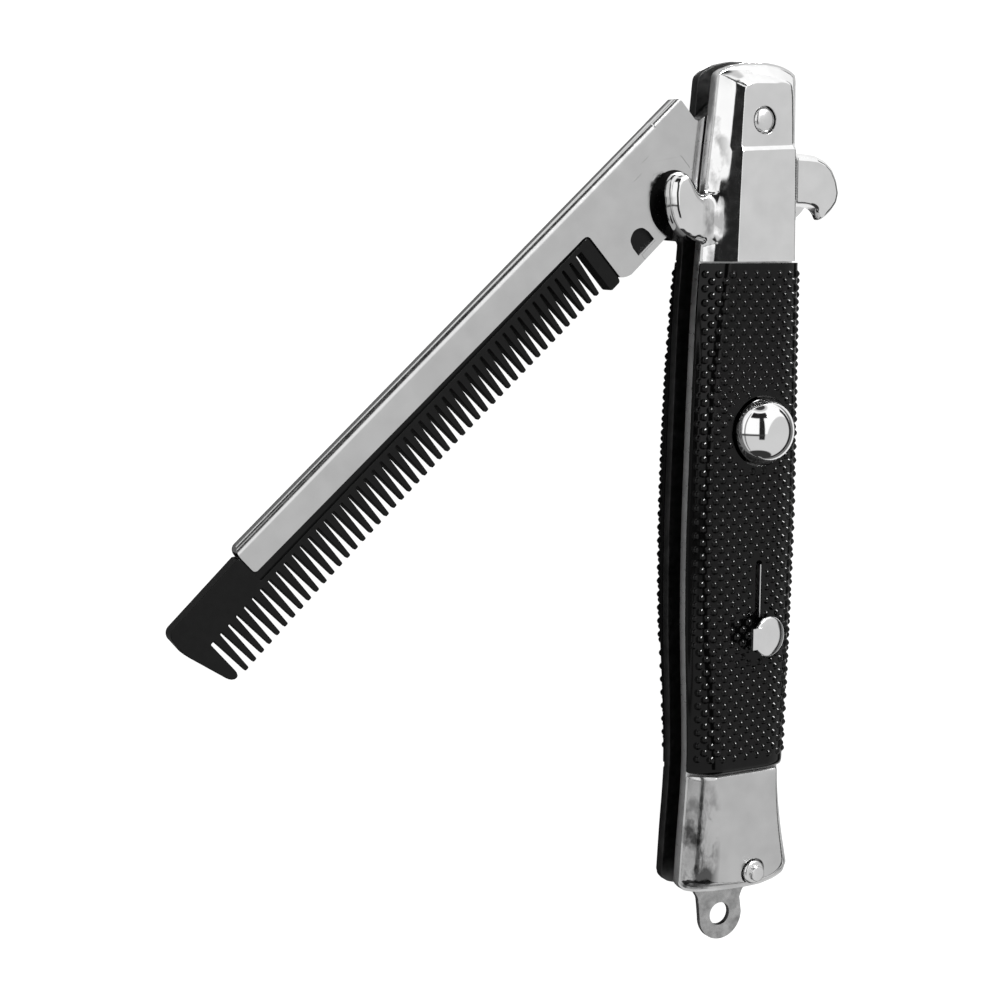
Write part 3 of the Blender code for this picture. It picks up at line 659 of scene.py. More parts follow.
def cover(name, node, side, ring, height, material, slot, *, grid=0.2, recess=None, holes=(), extra=()):
    made = relief(ring, holes, height, COVER_BASE, grid, side == "rear", recess)
    item = relief_object(name + side, *made, extra)
    return dress(item, "handle", material, slot, node + side, sharp=None)


def wing_outline(wing):
    ring = np.array([row[0:2] for row in wing] + [row[2:4] for row in reversed(wing)])
    return softened(ring, 0.35, 0.1)


def wing_height(points, ring, low):
    gap = distance(points, ring, closed=True)
    gap = np.where(inside(points, ring), gap, -gap)
    t = np.clip(gap / WING_ROUNDING, -1, 1)
    round_up = np.sqrt(np.clip(1 - (1 - np.clip(t, 0, 1)) ** 2.2, 0, 1))
    depth, outer, inner = WING_DIP
    top = WING_Z - depth * ease((points[:, 0] - outer) / (inner - outer)) * (points[:, 0] < 0)
    foot = low + WING_FOOT
    return foot + (top - foot) * round_up + np.where(t < 0, 4 * t, 0)


def side_points(start, stop, step=0.5):
    """Points down the left and the right edge of the handle."""
    ys = np.arange(start, stop, -step)
    return [np.column_stack([edge_x(line, ys), ys]) for line in (LEFT_LINE, RIGHT_LINE)]


def cover_ring(kept, cut_y):
    """Outline of a cover: the kept part of its base line, cut off straight across."""
    left, right = [(edge_x(line, cut_y), cut_y) for line in (LEFT_LINE, RIGHT_LINE)]
    return spaced(np.vstack([left, kept, right]), 0.14, closed=True)


def top_bolster(side, chrome):
    end = TOP_END[side]
    left, right = side_points(*TOP_SIDES)
    base_line = np.vstack([left[::-1], through([r[0:2] for r in end[::-1]], 6)[:-1],
                           through([r[2:4] for r in end], 6), right])
    base_line = spaced(base_line, 0.25)
    face_line = spaced(through(down_and_up(TOP_FACE), 6), 0.25)
    ring = cover_ring(base_line[base_line[:, 1] > TOP_COVER_FOOT], TOP_COVER_FOOT)
    wings = [wing_outline(LEFT_WING), wing_outline(RIGHT_WING)]
    for wing in wings:
        ring = spliced(ring, wing)
    ring = softened(ring, 0.16, 0.12)
    recess = (0, 0), PIVOT_HEAD + 0.3

    def height(points):
        ramp = (STEP_Y[0] + STEP_LEAN * points[:, 0] - points[:, 1]) / (STEP_Y[0] - STEP_Y[1])
        face_z = TOP_FACE_Z + (LOWER_FACE_Z - TOP_FACE_Z) * ease(ramp)
        z = pressed(points, base_line, face_line, face_z, COVER_BASE, "left", "wing")
        outside = ~inside(points, base_line)
        z = np.where(outside, COVER_BASE - 3 * distance(points, base_line), z)
        for wing in wings:
            z = blend_max(z, wing_height(points, wing, COVER_BASE), WING_FILLET)
        return np.maximum(z - dimple(points, recess, 1), COVER_BASE + 0.05)

    return cover("top_bolster_", "bolster_top_", side, ring, height, chrome, "bolster_chrome",
                 recess=recess)


def bottom_bolster(side, chrome):
    left, right = side_points(*FOOT_SIDES)
    end = [(a, b + BOTTOM_BOLSTER_INSET, c, d + BOTTOM_BOLSTER_INSET)
           for a, b, c, d in BOTTOM_END]
    foot = through(down_and_up(end), 6)
    base_line = spaced(np.vstack([left, foot, right[::-1]]), 0.25)
    face_line = spaced(through(down_and_up(BOTTOM_FACE[::-1])[::-1], 6), 0.25)
    ring = cover_ring(base_line[base_line[:, 1] < FOOT_COVER_HEAD], FOOT_COVER_HEAD)
    ring = softened(ring, 0.12, 0.12)
    recess = RIVET, RIVET_HEAD + 0.3

    def height(points):
        start, length, fall = FOOT_FALL
        face_z = FOOT_FACE_Z - fall * ease((start - points[:, 1]) / length)
        z = pressed(points, base_line, face_line, face_z, COVER_BASE, "left", "foot")
        roll = np.clip((points[:, 1] - FOOT_COVER_HEAD) / LIP_LENGTH + 1, 0, 1)
        z = COVER_BASE + (z - COVER_BASE) * (1 - LIP_DROP * roll ** 2)
        return z - dimple(points, recess, 1)

    return cover("bottom_bolster_", "bolster_bottom_", side, ring, height, chrome, "bolster_chrome",
                 recess=recess)


def grip_section(y):
    """Section of a grip at y as (x, z) from its left base to its right base."""
    left, right = float(edge_x(LEFT_LINE, y)), float(edge_x(RIGHT_LINE, y))
    middle = (left + right) / 2
    full = at_height(GRIP_FULLNESS, y)
    rise = CROWN - BUMP_HEIGHT - COVER_BASE
    down_left = [((1 - full) * a + full * c, (1 - full) * b + full * d)
                 for (a, b), (c, d) in zip(GRIP_SLOPING, GRIP_FULL)]
    sides = []
    for edge, flat, rows in ((left, middle - GRIP_FLAT, down_left),
                             (right, middle + GRIP_FLAT, GRIP_FULL)):
        line = through(rows, 10)
        sides.append(np.column_stack([edge + (flat - edge) * line[:, 0],
                                      COVER_BASE + rise * line[:, 1]]))
    return np.vstack([sides[0], sides[1][::-1]])


def grip_heights():
    """Heights of a grip over a table of sections, read between them."""
    ys = np.linspace(GRIP_TOP + 0.5, GRIP_BOTTOM - 0.5, 160)
    across = np.linspace(0, 1, 700)
    table = []
    for y in ys:
        section = grip_section(y)
        x0, x1 = section[0, 0], section[-1, 0]
        table.append(np.interp(x0 + (x1 - x0) * across, section[:, 0], section[:, 1]))
    table = np.array(table)

    def height(points):
        row = np.clip((ys[0] - points[:, 1]) / (ys[0] - ys[-1]) * (len(ys) - 1), 0, len(ys) - 1.001)
        x0, x1 = edge_x(LEFT_LINE, points[:, 1]), edge_x(RIGHT_LINE, points[:, 1])
        column = np.clip((points[:, 0] - x0) / (x1 - x0) * 699, 0, 698.999)
        r, c = row.astype(int), column.astype(int)
        fr, fc = row - r, column - c
        upper = table[r, c] * (1 - fc) + table[r, c + 1] * fc
        lower = table[r + 1, c] * (1 - fc) + table[r + 1, c + 1] * fc
        full = upper * (1 - fr) + lower * fr
        foot = np.clip((points[:, 1] - GRIP_BOTTOM) / GRIP_FOOT, 0, 1)
        return COVER_BASE + (full - COVER_BASE) * (0.6 + 0.4 * np.sqrt(1 - (1 - foot) ** 2))

    return height


def bump(centre, normal):
    """One glossy dome standing on a grip, whose normal lies across the handle."""
    section = [(0, -BUMP_SINK)]
    section += [(BUMP_RADIUS * share, BUMP_HEIGHT * (1 - share ** 2) ** 1.15 - BUMP_SINK)
                for share in BUMP_RINGS]
    corners, faces = turned(section + [(0, BUMP_HEIGHT - BUMP_SINK)], (0, 0), BUMP_SIDES)
    x, _, z = normal
    return corners @ np.array([(z, 0, -x), (0, 1, 0), (x, 0, z)]) + centre, faces


def grip_bumps(front):
    """All the domes of a grip, in staggered columns spaced evenly over its curve."""
    bumps = []
    pitch_x, pitch_y = BUMP_PITCH
    rows = int((GRIP_TOP - GRIP_BOTTOM) / pitch_y) + 2
    for half_row in range(-1, 2 * rows):
        y = BUMP_FIRST[1] - half_row * pitch_y / 2
        if not GRIP_BOTTOM + GRIP_FOOT + 0.5 < y < GRIP_TOP - 0.7:
            continue
        section = grip_section(y)
        run = np.concatenate([[0], np.cumsum(np.linalg.norm(np.diff(section, axis=0), axis=1))])
        zero = np.interp(0, section[:, 0], run)
        for column in range(-16, 14):
            if (column + half_row) % 2:
                continue
            s = zero + BUMP_FIRST[0] + column * pitch_x
            if not at_height(SMOOTH_BORDER, y) <= s <= run[-1] - 0.6:
                continue
            x, z = np.interp(s, run, section[:, 0]), np.interp(s, run, section[:, 1])
            ahead = [np.interp(s + d, run, section[:, k]) for d in (-0.25, 0.25) for k in (0, 1)]
            normal = Vector((-(ahead[3] - ahead[1]), 0, ahead[2] - ahead[0])).normalized()
            at_button = math.hypot(x, y - BUTTON_Y) < BUTTON_HOLE + BUMP_CLEARANCE
            at_slot = abs(x) < 1.2 and SAFETY_SLOT[1] - 0.8 < y < SAFETY_SLOT[0] + 0.8
            if not (front and (at_button or at_slot)):
                bumps.append(bump((x, y, z), normal))
    return bumps


def grip(side, plastic):
    left, right = side_points(GRIP_TOP, GRIP_BOTTOM, 0.25)
    ring = softened(np.vstack([left, right[::-1]]), 0.14, 0.22)
    holes = []
    if side == "front":
        top, bottom, half = SAFETY_SLOT
        holes = [arc((0, BUTTON_Y), BUTTON_HOLE, 0, 360, 97)[:-1],
                 spaced(np.vstack([arc((0, top - half), half, 0, 180, 13),
                                   arc((0, bottom + half), half, 180, 360, 13)]), 0.15,
                        closed=True)]
    domes = grip_bumps(side == "front")
    if side == "rear":
        domes = [mirrored(dome) for dome in domes]
    return cover("grip_shell_", "grip_", side, ring, grip_heights(), plastic, "grip_plastic",
                 grid=0.4, holes=holes, extra=domes)


# Flat pieces.

def liner_ring(side):
    top, bottom = TOP_END[side], BOTTOM_END[::-1]
    left = np.vstack([[r[0:2] for r in top], LEFT_LINE[::6], [r[0:2] for r in bottom]])
    right = np.vstack([[r[2:4] for r in top], RIGHT_LINE[::6], [r[2:4] for r in bottom]])
    return softened(np.vstack([left, right[::-1]]), 0.25, 0.25)


def liner(side, steel):
    body = plate(liner_ring(side), SLOT_HALF, LINER_FACE)
    item = make_object("liner_plate_" + side, mirrored(body) if side == "rear" else body)
    soften_edges(item, 0.12)
    if side == "front":
        x0, x1, y0, y1, top = SLOT_STRIP
        combine(item, "UNION", [plate([(x0, y0), (x1, y0), (x1, y1), (x0, y1)], 3.0, top)])
    return dress(item, "handle", steel, "liner_steel", "liner_" + side)


def pivot_pin(steel):
    foot = PIVOT_HEAD_TOP - PIVOT_DOME
    dome = [(PIVOT_HEAD, COVER_BASE + 0.2), (PIVOT_HEAD, foot)]
    dome += [(PIVOT_HEAD * math.cos(a), foot + PIVOT_DOME * math.sin(a))
             for a in np.radians(np.linspace(8, 84, 12))]
    section = [(0, -PIVOT_HEAD_TOP)] + [(r, -z) for r, z in reversed(dome)]
    section += [(1.4, -COVER_BASE), (1.4, COVER_BASE)] + dome + [(0, PIVOT_HEAD_TOP)]
    item = make_object("pivot_rivet", turned(section, (0.0, 0.0), 48))
    return dress(item, "handle", steel, "rivet_steel", "pivot_pin")


def end_rivet(steel):
    item = make_object("foot_rivet", turned(RIVET_SECTION, RIVET, 48))
    return dress(item, "handle", steel, "rivet_steel", "end_rivet")


def ring_tab(steel):
    left = through([(a, y) for a, _, y in TAB_ROOT[1:]], 6)
    right = through([(b, y) for _, b, y in TAB_ROOT[1:]], 6)
    outline = np.vstack([arc(RIVET, 1.9, 0, 180, 13), [(TAB_ROOT[0][0], TAB_ROOT[0][2])], left,
                         arc(RING_CENTRE, RING_OUTER, 180, 360, 49), right[::-1],
                         [(TAB_ROOT[0][1], TAB_ROOT[0][2])]])
    item = make_object("cord_tab", plate(outline, -TAB_HALF, TAB_HALF))
    combine(item, "DIFFERENCE", [rod(HOLE_CENTRE, RING_HOLE, -1.0, 1.0, 64),
                                 rod(RIVET, 1.1, -1, 1, 32)])
    soften_edges(item, 0.09)
    return dress(item, "handle", steel, "tab_steel", "ring_tab")


def push_button(chrome):
    rim = math.asin((BUTTON_RADIUS - 0.03) / BUTTON_BALL)
    dome = [(BUTTON_BALL * math.sin(a), BUTTON_TOP - BUTTON_BALL * (1 - math.cos(a)))
            for a in np.linspace(rim, 0, 30)]
    section = [(0, BUTTON_BASE), (BUTTON_RADIUS, BUTTON_BASE),
               (BUTTON_RADIUS, dome[0][1] - 0.15)] + dome
    item = make_object("button_dome", turned(section, (0.0, BUTTON_Y), 72))
    return dress(item, "button", chrome, "button_chrome", "push_button", sharp=50.0)


def safety_slider(chrome):
    turn = np.array(Matrix.Rotation(KNOB_TILT, 3, "Y"))
    section = KNOB_SECTION[:3] + [tuple(row) for row in through(KNOB_SECTION[3:], 5)]
    corners, faces = turned(section, (0, 0), 56)
    item = make_object("safety_knob", (corners @ turn.T + KNOB, faces))
    left, right, half_length, half_thickness = KNOB_LUG
    lug = plate([(left, half_length), (left, -half_length), (right, -half_length),
                 (right, half_length)], -half_thickness, half_thickness)
    thin, long = KNOB_BLADE
    high, low = SAFETY_Y + long, SAFETY_Y - long
    blade = plate([(thin, high), (-thin, high), (-thin, low), (thin, low)], COVER_BASE + 0.3, KNOB[2])
    combine(item, "UNION", [(lug[0] @ turn.T + KNOB, lug[1]), blade])
    soften_edges(item, 0.14, 3)
    return dress(item, "safety", chrome, "knob_chrome", "safety_slider")


# Comb.

def channel_ring():
    (start_u, start_v), (end_u, end_v) = METAL_EDGE
    outline = [SPINE[0], (SPINE_FULL_U, line_v(SPINE, SPINE_FULL_U)), SPINE[1],
               (end_u, end_v - 0.7)]
    outline += list(arc((end_u - 0.6, end_v - 0.6), 0.6, 20, 90, 6))
    outline += [(start_u, start_v)] + SHEET_END
    tail = [(13.2, 5)] + list(arc((0, 0), TANG_LOBE, 65, 270, 33)) + TANG_NECK
    notch = arc((0, 0), 1, -105, -380, 65) * NOTCH_HALF + NOTCH_CENTRE
    return np.vstack([comb_plan(outline), notch, comb_plan(tail)])


def line_v(line, u):
    us, vs = zip(*line)
    return float(np.interp(u, us, vs))


def round_spine(item):
    build = bmesh.new()
    build.from_mesh(item.data)

    def place(vert):
        """A corner's place, how far along the comb it is and how far in from the spine."""
        spot = np.array(vert.co) / MM - ORIGIN
        along = spot[:2] @ U_AXIS
        return spot, along, spot[:2] @ V_AXIS - line_v(SPINE, along)

    def on_corner(vert):
        spot, along, inward = place(vert)
        return (along < SPINE[1][0] + 0.01 and abs(inward) < 0.01
                and abs(abs(spot[2]) - CHANNEL_HALF) < 0.01)

    edges = [edge for edge in build.edges if all(on_corner(vert) for vert in edge.verts)]
    bmesh.ops.bevel(build, geom=edges, offset=SPINE_ROUNDING * MM, segments=16, profile=0.5,
                    affect="EDGES")
    for vert in build.verts:
        spot, along, inward = place(vert)
        if inward < SPINE_ROUNDING + 0.01 and SPINE_FULL_U - 0.01 < along < SPINE[1][0] + 0.01:
            spot[:2] += V_AXIS * inward * (SPINE_SLOPE / SPINE_ROUNDING - 1)
            vert.co = Vector((spot + ORIGIN) * MM)
    build.to_mesh(item.data)
    build.free()


def scratch(u0, v0, u1, v1, width):
    """A fine line cut into the front of the sheet."""
    start, end = comb_plan([(u0, v0), (u1, v1)])
    along = (end - start) / np.linalg.norm(end - start)
    side = np.array([-along[1], along[0]]) * width / 2
    outline = [start - side, end - side, end + side, start + side]
    return plate(outline, CHANNEL_HALF - LINE_DEPTH, CHANNEL_HALF + 1)


def comb_channel(steel):
    item = make_object("comb_sheath", plate(channel_ring(), -CHANNEL_HALF, CHANNEL_HALF))
    round_spine(item)
    inner = CHANNEL_HALF - SHEET
    mouth_u = SPINE[1][0] + 1
    cavity = comb_plan([(CAVITY_U, line_v(SPINE, CAVITY_U) + SPINE_WALL),
                        (mouth_u, SPINE[1][1] + SPINE_WALL), (mouth_u, 8), (CAVITY_U, 8)])
    window = comb_plan(np.vstack([WINDOW[:1], through(WINDOW[1:-1], 6), WINDOW[-1:]]))
    combine(item, "DIFFERENCE", [
        plate(cavity, -inner, inner),
        plate(window, -CHANNEL_HALF - 1, CHANNEL_HALF + 1),
        rod((0, 0), 1.6, -CHANNEL_HALF - 1, CHANNEL_HALF + 1),
    ])
    combine(item, "DIFFERENCE", [scratch(*line) for line in TANG_LINES])
    soften_edges(item, 0.05, 2, 50)
    return dress(item, "comb", steel, "channel_steel", "comb_channel", sharp=30.0)


def tooth(index):
    """Outline of a tooth, its tip blunt with small round corners."""
    u = LAST_TOOTH_U - TOOTH_PITCH * index - TOOTH_PITCH_GROWTH * index ** 2
    tip, root = line_v(TOOTH_TIPS, u), line_v(TOOTH_ROOTS, u)
    side = [(TOOTH_ROOT_HALF, root)]
    side += list(arc((TOOTH_TIP_HALF - 0.22, tip - 0.22), 0.22, 5, 85, 5))
    return [(u + x, v) for x, v in side] + [(u - x, v) for x, v in reversed(side)]


def thinning_wedge(face):
    """What is taken off one face of the teeth, more and more towards their tips."""
    u0, u1, v0, v1 = THINNING
    outline = comb_plan([(u0, v0), (u1, v0), (u1, v1), (u0, v1)])
    corners, faces = plate(outline, TEETH_HALF, TEETH_HALF + 1)
    corners[:4, 2] = (TEETH_HALF + 0.02, TEETH_HALF + 0.02, TIP_DEPTH_HALF, TIP_DEPTH_HALF)
    return (corners, faces) if face > 0 else mirrored((corners, faces))


def comb_teeth(plastic):
    start_u = METAL_EDGE[1][0] + 0.08
    outline = [(32.8, PLASTIC_EDGE_V), (start_u, PLASTIC_EDGE_V), (start_u, -10.1),
               (start_u + 0.35, -10.35)]
    outline += list(arc((114, -8.75), 1.3, -80, -10, 7)) + TEETH_END + [TOOTH_ROOTS[-1]]
    for index in range(TOOTH_COUNT):
        outline += tooth(index)
    outline += [(34.3, TOOTH_ROOTS[0][1])] + TEETH_START
    item = make_object("comb_insert", plate(comb_plan(outline), -TEETH_HALF, TEETH_HALF))
    combine(item, "DIFFERENCE", [thinning_wedge(1), thinning_wedge(-1)])
    soften_edges(item, 0.12, 3, 40)
    combine(item, "UNION", [plate(comb_plan(TONGUE), -TONGUE_HALF, TONGUE_HALF)])
    return dress(item, "comb", plastic, "teeth_plastic", "comb_teeth", sharp=30.0)


# Materials.

# Darker patches on a cover's left side: amount, grey, strength of the scuffs, and where they begin and
# are full along an axis, in metres. On the bottom bolster they are partly smudge marks and partly
# painted shade.
TOP_DARK_PATCHES = (0.75, 0.25, 0.12, [("X", -0.0052, -0.0068), ("X", -0.0105, -0.0092)])
# Bottom bolster: near-black patches growing towards its lower left wall, partly smudge marks and partly
# painted shade for the dark that this outward-leaning wall reflects.
FOOT_SMUDGES_AND_PAINTED_SHADE = (0.9, 0.06, 0.8, [("X", -0.0052, -0.0068), ("Y", -0.0432, -0.0525)])


def start_material(name):
    material = bpy.data.materials.new(name)
    material.use_nodes = True
    tree = material.node_tree
    shader = tree.nodes["Principled BSDF"]
    coords = tree.nodes.new("ShaderNodeTexCoord")
    return material, tree, shader, coords


def noise(tree, coords, scale, stretch=(1, 1, 1), detail=3, turn=0):
    """A noise pattern in object space, stretched and turned about z; scale is per metre."""
    mapping = tree.nodes.new("ShaderNodeMapping")
    mapping.inputs["Rotation"].default_value = (0.0, 0.0, turn)
    mapping.inputs["Scale"].default_value = [scale * part for part in stretch]
    pattern = tree.nodes.new("ShaderNodeTexNoise")
    pattern.inputs["Scale"].default_value = 1.0
    pattern.inputs["Detail"].default_value = detail
    tree.links.new(coords.outputs["Object"], mapping.inputs["Vector"])
    tree.links.new(mapping.outputs["Vector"], pattern.inputs["Vector"])
    return pattern.outputs["Fac"]


def plug(tree, value, socket):
    """Link a pattern to a socket, or set a plain value on it."""
    if isinstance(value, bpy.types.NodeSocket):
        tree.links.new(value, socket)
    else:
        socket.default_value = value


def spread(tree, value, low, high, from_low=0.3, from_high=0.7, kind="LINEAR"):
    """A pattern mapped to a range of values."""
    node = tree.nodes.new("ShaderNodeMapRange")
    node.interpolation_type = kind
    for name, number in (("From Min", from_low), ("From Max", from_high), ("To Min", low),
                         ("To Max", high), ("Value", value)):
        plug(tree, number, node.inputs[name])
    return node.outputs["Result"]


def mixed(tree, kind, factor, low, high):
    """From low to high as the factor goes from 0 to 1."""
    node = tree.nodes.new("ShaderNodeMix")
    node.data_type = kind
    for name, value in (("Factor", factor), ("A", low), ("B", high)):
        plug(tree, value, node.inputs[name])
    return node.outputs["Result"]


def grey(level):
    return level, level, level, 1


def varied_grey(tree, pattern, dark, light):
    """A pattern as a colour between two greys."""
    return mixed(tree, "RGBA", spread(tree, pattern, 0.0, 1.0), grey(dark), grey(light))


def node_math(tree, operation, *values):
    node = tree.nodes.new("ShaderNodeMath")
    node.operation = operation
    for value, socket in zip(values, node.inputs):
        plug(tree, value, socket)
    return node.outputs[0]


def axes(tree, vector):
    """The x, y and z of a vector."""
    split = tree.nodes.new("ShaderNodeSeparateXYZ")
    tree.links.new(vector, split.inputs[0])
    return split.outputs


def bumps(tree, shader, layers):
    """Bump layers (pattern, depth in metres, strength), one on the other."""
    below = None
    for pattern, depth, strength in layers:
        node = tree.nodes.new("ShaderNodeBump")
        node.inputs["Distance"].default_value = depth
        node.inputs["Strength"].default_value = strength
        tree.links.new(pattern, node.inputs["Height"])
        if below:
            tree.links.new(below, node.inputs["Normal"])
        below = node.outputs["Normal"]
    tree.links.new(below, shader.inputs["Normal"])


def patches_with_painted_shade(tree, coords, shader, clean, amount, level, limits):
    """Darker patches and scuffs on part of a cover, over its clean colour; on the bottom bolster they
    are partly painted shade.

    Returns a pattern for the bump.
    """
    side = amount
    places = axes(tree, coords.outputs["Object"])
    for axis, without, full in limits:
        part = spread(tree, places[axis], 0, 1, without, full)
        side = node_math(tree, "MULTIPLY", part, side)
    marks = spread(tree, noise(tree, coords, 420, (1, 0.6, 1), 6), 0, 1, 0.46, 0.62)
    share = node_math(tree, "MULTIPLY", side, marks)
    tree.links.new(mixed(tree, "RGBA", share, clean, grey(level)), shader.inputs["Base Color"])
    scuffs = noise(tree, coords, 2600, (1, 0.2, 1), 3, 0.6)
    return node_math(tree, "MULTIPLY", side, scuffs)


def metal(name, dark, light, roughness, grain, wave=0, turn=0, mottle=220, patches_and_painted_shade=None):
    """Plated or bare steel: faint stains, fine scratches along the grain and slow waves; where patches
    are given, darker marks that are partly painted shade.
    """
    material, tree, shader, coords = start_material(name)
    scratches = noise(tree, coords, 9000, (1, 0.03, 1), 2, turn)
    shader.inputs["Metallic"].default_value = 1.0
    colour = varied_grey(tree, noise(tree, coords, mottle, detail=6), dark, light)
    tree.links.new(spread(tree, noise(tree, coords, mottle * 4, detail=8), *roughness),
                   shader.inputs["Roughness"])
    layers = [(scratches, 0.00001, grain)]
    if patches_and_painted_shade:
        amount, level, scuff, limits = patches_and_painted_shade
        pattern = patches_with_painted_shade(tree, coords, shader, colour, amount, level, limits)
        layers.append((pattern, 0.00003, scuff))
    else:
        tree.links.new(colour, shader.inputs["Base Color"])
    if wave:
        layers.append((noise(tree, coords, 260, detail=1), 0.0002, wave))
    bumps(tree, shader, layers)
    return material


def plastic(name, dark, light, roughness, grain, specular):
    """Moulded plastic: nearly even black with a fine, slightly uneven skin."""
    material, tree, shader, coords = start_material(name)
    tree.links.new(varied_grey(tree, noise(tree, coords, 900), dark, light),
                   shader.inputs["Base Color"])
    tree.links.new(spread(tree, noise(tree, coords, 1500, detail=6), *roughness),
                   shader.inputs["Roughness"])
    shader.inputs["Specular IOR Level"].default_value = specular
    bumps(tree, shader, [(noise(tree, coords, 6000, detail=4), 0.00001, grain)])
    return material


def make_materials():
    return {
        "bolster": metal("bolster_chrome", 0.72, 0.8, (0.05, 0.13), 0.1, 0.14,
                         patches_and_painted_shade=TOP_DARK_PATCHES),
        # Bottom bolsters: chrome with wear, and patches on the lower left that are partly painted
        # shade.
        "worn_painted_shade": metal("worn_chrome_painted_shade", 0.54, 0.62, (0.14, 0.25), 0.2, 0.16,
                      patches_and_painted_shade=FOOT_SMUDGES_AND_PAINTED_SHADE),
        "rivet": metal("rivet_steel", 0.66, 0.76, (0.18, 0.28), 0.1, 0.05),
        "button": metal("button_chrome", 0.78, 0.82, (0.03, 0.08), 0.04, 0.08),
        "knob": metal("knob_chrome", 0.72, 0.8, (0.07, 0.15), 0.06, 0.22),
        "channel": metal("channel_steel", 0.57, 0.63, (0.12, 0.17), 0.02, 0.012,
                         COMB_BELOW_LEFT - math.pi / 2),
        "liner_front": metal("liner_steel", 0.55, 0.75, (0.25, 0.4), 0.4, 0.2),
        # Rear liner: the front liner's steel painted nearly black, as painted shade for the shaded
        # inside of the slot.
        "liner_rear": metal("rear_steel_painted_shade", 0.05, 0.1, (0.3, 0.45), 0.5, 0.15,
                            mottle=420),
        "tab": metal("tab_steel", 0.26, 0.5, (0.22, 0.38), 0.9, 0.3, mottle=700.0),
        "spacer": metal("spacer_steel", 0.3, 0.5, (0.35, 0.5), 0.4),
        "grip": plastic("grip_plastic", 0.0006, 0.0014, (0.06, 0.13), 0.1, 0.22),
        "teeth": plastic("teeth_plastic", 0.001, 0.002, (0.26, 0.31), 0.2, 0.2),
    }


# Studio.

# The studio as seen from the object, later rows over earlier ones, in degrees. Panels are
# (left, right, low, high, brightness) and round patches (turn, height, radius, brightness).
# Left, right and turn go from straight up towards the right; low, high and height are above the
# handle's crossways plane.
STUDIO = [
    (-125, 130, -5, 71, 1.25),  # white wall
    (42, -12, 50, 0.75),  # round grey screen
    (-35, -16, -24, 50, 0.02),
    (-75, 4, 46, 65, 0.02),
    (-113, -16, -12, -6.5, 0.05),
    (-85, -81, -60, 60, 0.1),
    (79, 115, -78, 40, 0.03),
    (-180, 180, 77, 90, 0.05),
    (-180, 180, -90, -62, 0.04),
    (20, 48, 8, 80),  # lamp
]
STUDIO_GREY = 0.75
PANEL_SOFTNESS = 4
FLOOR_HALF = 0.45
FLOOR_GREY = 0.07  # colour of the floor apart from its own light
FLOOR_LIGHT = 0.85  # brightness of the white cards on it, as the object sees them
# The cards: where one begins and is full along an axis, and where it fades and ends, in metres.
CARDS = [("X", 0.012, 0.018, 0.04, 0.06), ("Y", 0.066, 0.076, 0.3, 0.4)]


def step_up(tree, value, edge):
    """0 below the edge and 1 above it, in degrees, with a soft change."""
    return spread(tree, value, 0, 1, edge - PANEL_SOFTNESS / 2, edge + PANEL_SOFTNESS / 2,
                  "SMOOTHSTEP")


def panel_mask(tree, turn, height, left, right, low, high):
    """1 inside a panel and 0 outside it; an edge at 90 or 180 degrees is left out."""
    mask = None
    for value, edge, falling in ((turn, left, False), (turn, right, True),
                                 (height, low, False), (height, high, True)):
        if abs(edge) in (90, 180):
            continue
        side = step_up(tree, value, edge)
        if falling:
            side = node_math(tree, "SUBTRACT", 1.0, side)
        mask = side if mask is None else node_math(tree, "MULTIPLY", mask, side)
    return mask


def disc_mask(tree, direction, turn, height, radius):
    """1 inside a round patch of the studio and 0 outside it."""
    a, b = math.radians(turn), math.radians(height)
    dot = tree.nodes.new("ShaderNodeVectorMath")
    dot.operation = "DOT_PRODUCT"
    tree.links.new(direction, dot.inputs[0])
    dot.inputs[1].default_value = (math.sin(a) * math.cos(b), math.sin(b),
                                   math.cos(a) * math.cos(b))
    away = node_math(tree, "MULTIPLY", node_math(tree, "ARCCOSINE", dot.outputs["Value"]),
                     180 / math.pi)
    return node_math(tree, "SUBTRACT", 1.0, step_up(tree, away, radius))


def make_world():
    world = bpy.data.worlds.new("studio")
    bpy.context.scene.world = world
    world.use_nodes = True
    tree = world.node_tree
    background = tree.nodes["Background"]
    coords = tree.nodes.new("ShaderNodeTexCoord")
    direction = coords.outputs["Generated"]
    x, y, z = axes(tree, direction)
    turn = node_math(tree, "MULTIPLY", node_math(tree, "ARCTAN2", x, z), 180 / math.pi)
    height = node_math(tree, "MULTIPLY", node_math(tree, "ARCSINE", y), 180 / math.pi)
    light = STUDIO_GREY
    for *place, brightness in STUDIO:
        if len(place) == 4:
            mask = panel_mask(tree, turn, height, *place)
        else:
            mask = disc_mask(tree, direction, *place)
        light = mixed(tree, "FLOAT", mask, light, brightness)
    tree.links.new(unless_camera(tree, light), background.inputs["Strength"])
    background.inputs["Color"].default_value = (1.0, 1.0, 1.0, 1.0)


def unless_camera(tree, value):
    """A brightness for what the object reflects; the picture's own background is white."""
    path = tree.nodes.new("ShaderNodeLightPath")
    return mixed(tree, "FLOAT", path.outputs["Is Camera Ray"], value, 1.0)


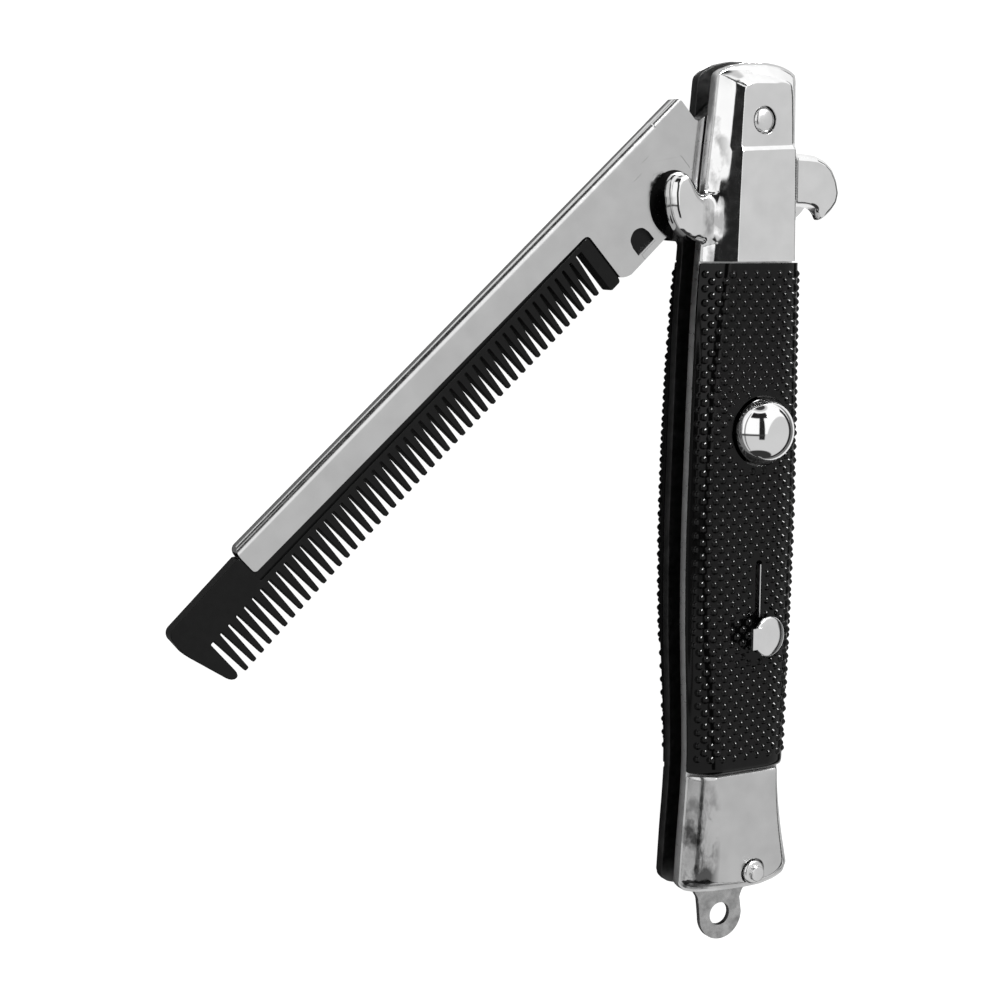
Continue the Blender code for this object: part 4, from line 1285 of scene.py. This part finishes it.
def make_floor():
    mesh = bpy.data.meshes.new("floor")
    mesh.from_pydata([(x * FLOOR_HALF, y * FLOOR_HALF, 0) for x, y in
                      ((-1, -1), (1, -1), (1, 1), (-1, 1))], [], [(0, 1, 2, 3)])
    floor = linked("floor", mesh)
    material, tree, shader, coords = start_material("floor_white")
    tree.links.new(varied_grey(tree, noise(tree, coords, 3), FLOOR_GREY, FLOOR_GREY + 0.02),
                   shader.inputs["Base Color"])
    shader.inputs["Roughness"].default_value = 0.7
    shader.inputs["Emission Color"].default_value = (1.0, 1.0, 1.0, 1.0)
    lit = 0
    places = axes(tree, coords.outputs["Object"])
    for axis, begin, full, fade, end in CARDS:
        card = node_math(tree, "MULTIPLY", spread(tree, places[axis], 0.0, FLOOR_LIGHT, begin, full),
                         spread(tree, places[axis], 1, 0, fade, end))
        lit = node_math(tree, "MAXIMUM", lit, card)
    tree.links.new(unless_camera(tree, lit), shader.inputs["Emission Strength"])
    mesh.materials.append(material)


def make_camera():
    back = Vector((math.sin(CAMERA_AZIMUTH) * math.cos(CAMERA_ELEVATION),
                   math.sin(CAMERA_ELEVATION),
                   math.cos(CAMERA_AZIMUTH) * math.cos(CAMERA_ELEVATION)))
    level = Vector((0, 1, 0)).cross(back).normalized()
    upright = back.cross(level)
    right = level * math.cos(CAMERA_ROLL) + upright * math.sin(CAMERA_ROLL)
    up = upright * math.cos(CAMERA_ROLL) - level * math.sin(CAMERA_ROLL)
    data = bpy.data.cameras.new("camera")
    data.sensor_width = SENSOR
    data.lens = FOCAL_PIXELS * SENSOR / PHOTO_PIXELS
    data.clip_start = 0.01
    data.clip_end = 20
    camera = linked("camera", data)
    turn = Matrix((right, up, back)).transposed().to_4x4()
    camera.matrix_world = Matrix.Translation(CAMERA_PLACE) @ turn
    bpy.context.scene.camera = camera


def build():
    made = make_materials()
    for side in ("front", "rear"):
        top_bolster(side, made["bolster"])
        # The bottom bolsters' chrome carries patches that are partly painted shade.
        bottom_bolster(side, made["worn_painted_shade"])
        grip(side, made["grip"])
        # The rear liner's steel is painted nearly black: painted shade.
        liner(side, made["liner_" + side])
    pivot_pin(made["rivet"])
    end_rivet(made["rivet"])
    ring_tab(made["tab"])
    push_button(made["button"])
    safety_slider(made["knob"])
    comb_channel(made["channel"])
    comb_teeth(made["teeth"])
    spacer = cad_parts["back_spacer"]
    spacer.data.materials.clear()
    spacer.data.materials.append(made["spacer"])
    make_world()
    make_floor()
    make_camera()
    bpy.context.scene.view_settings.view_transform = "Standard"


build()
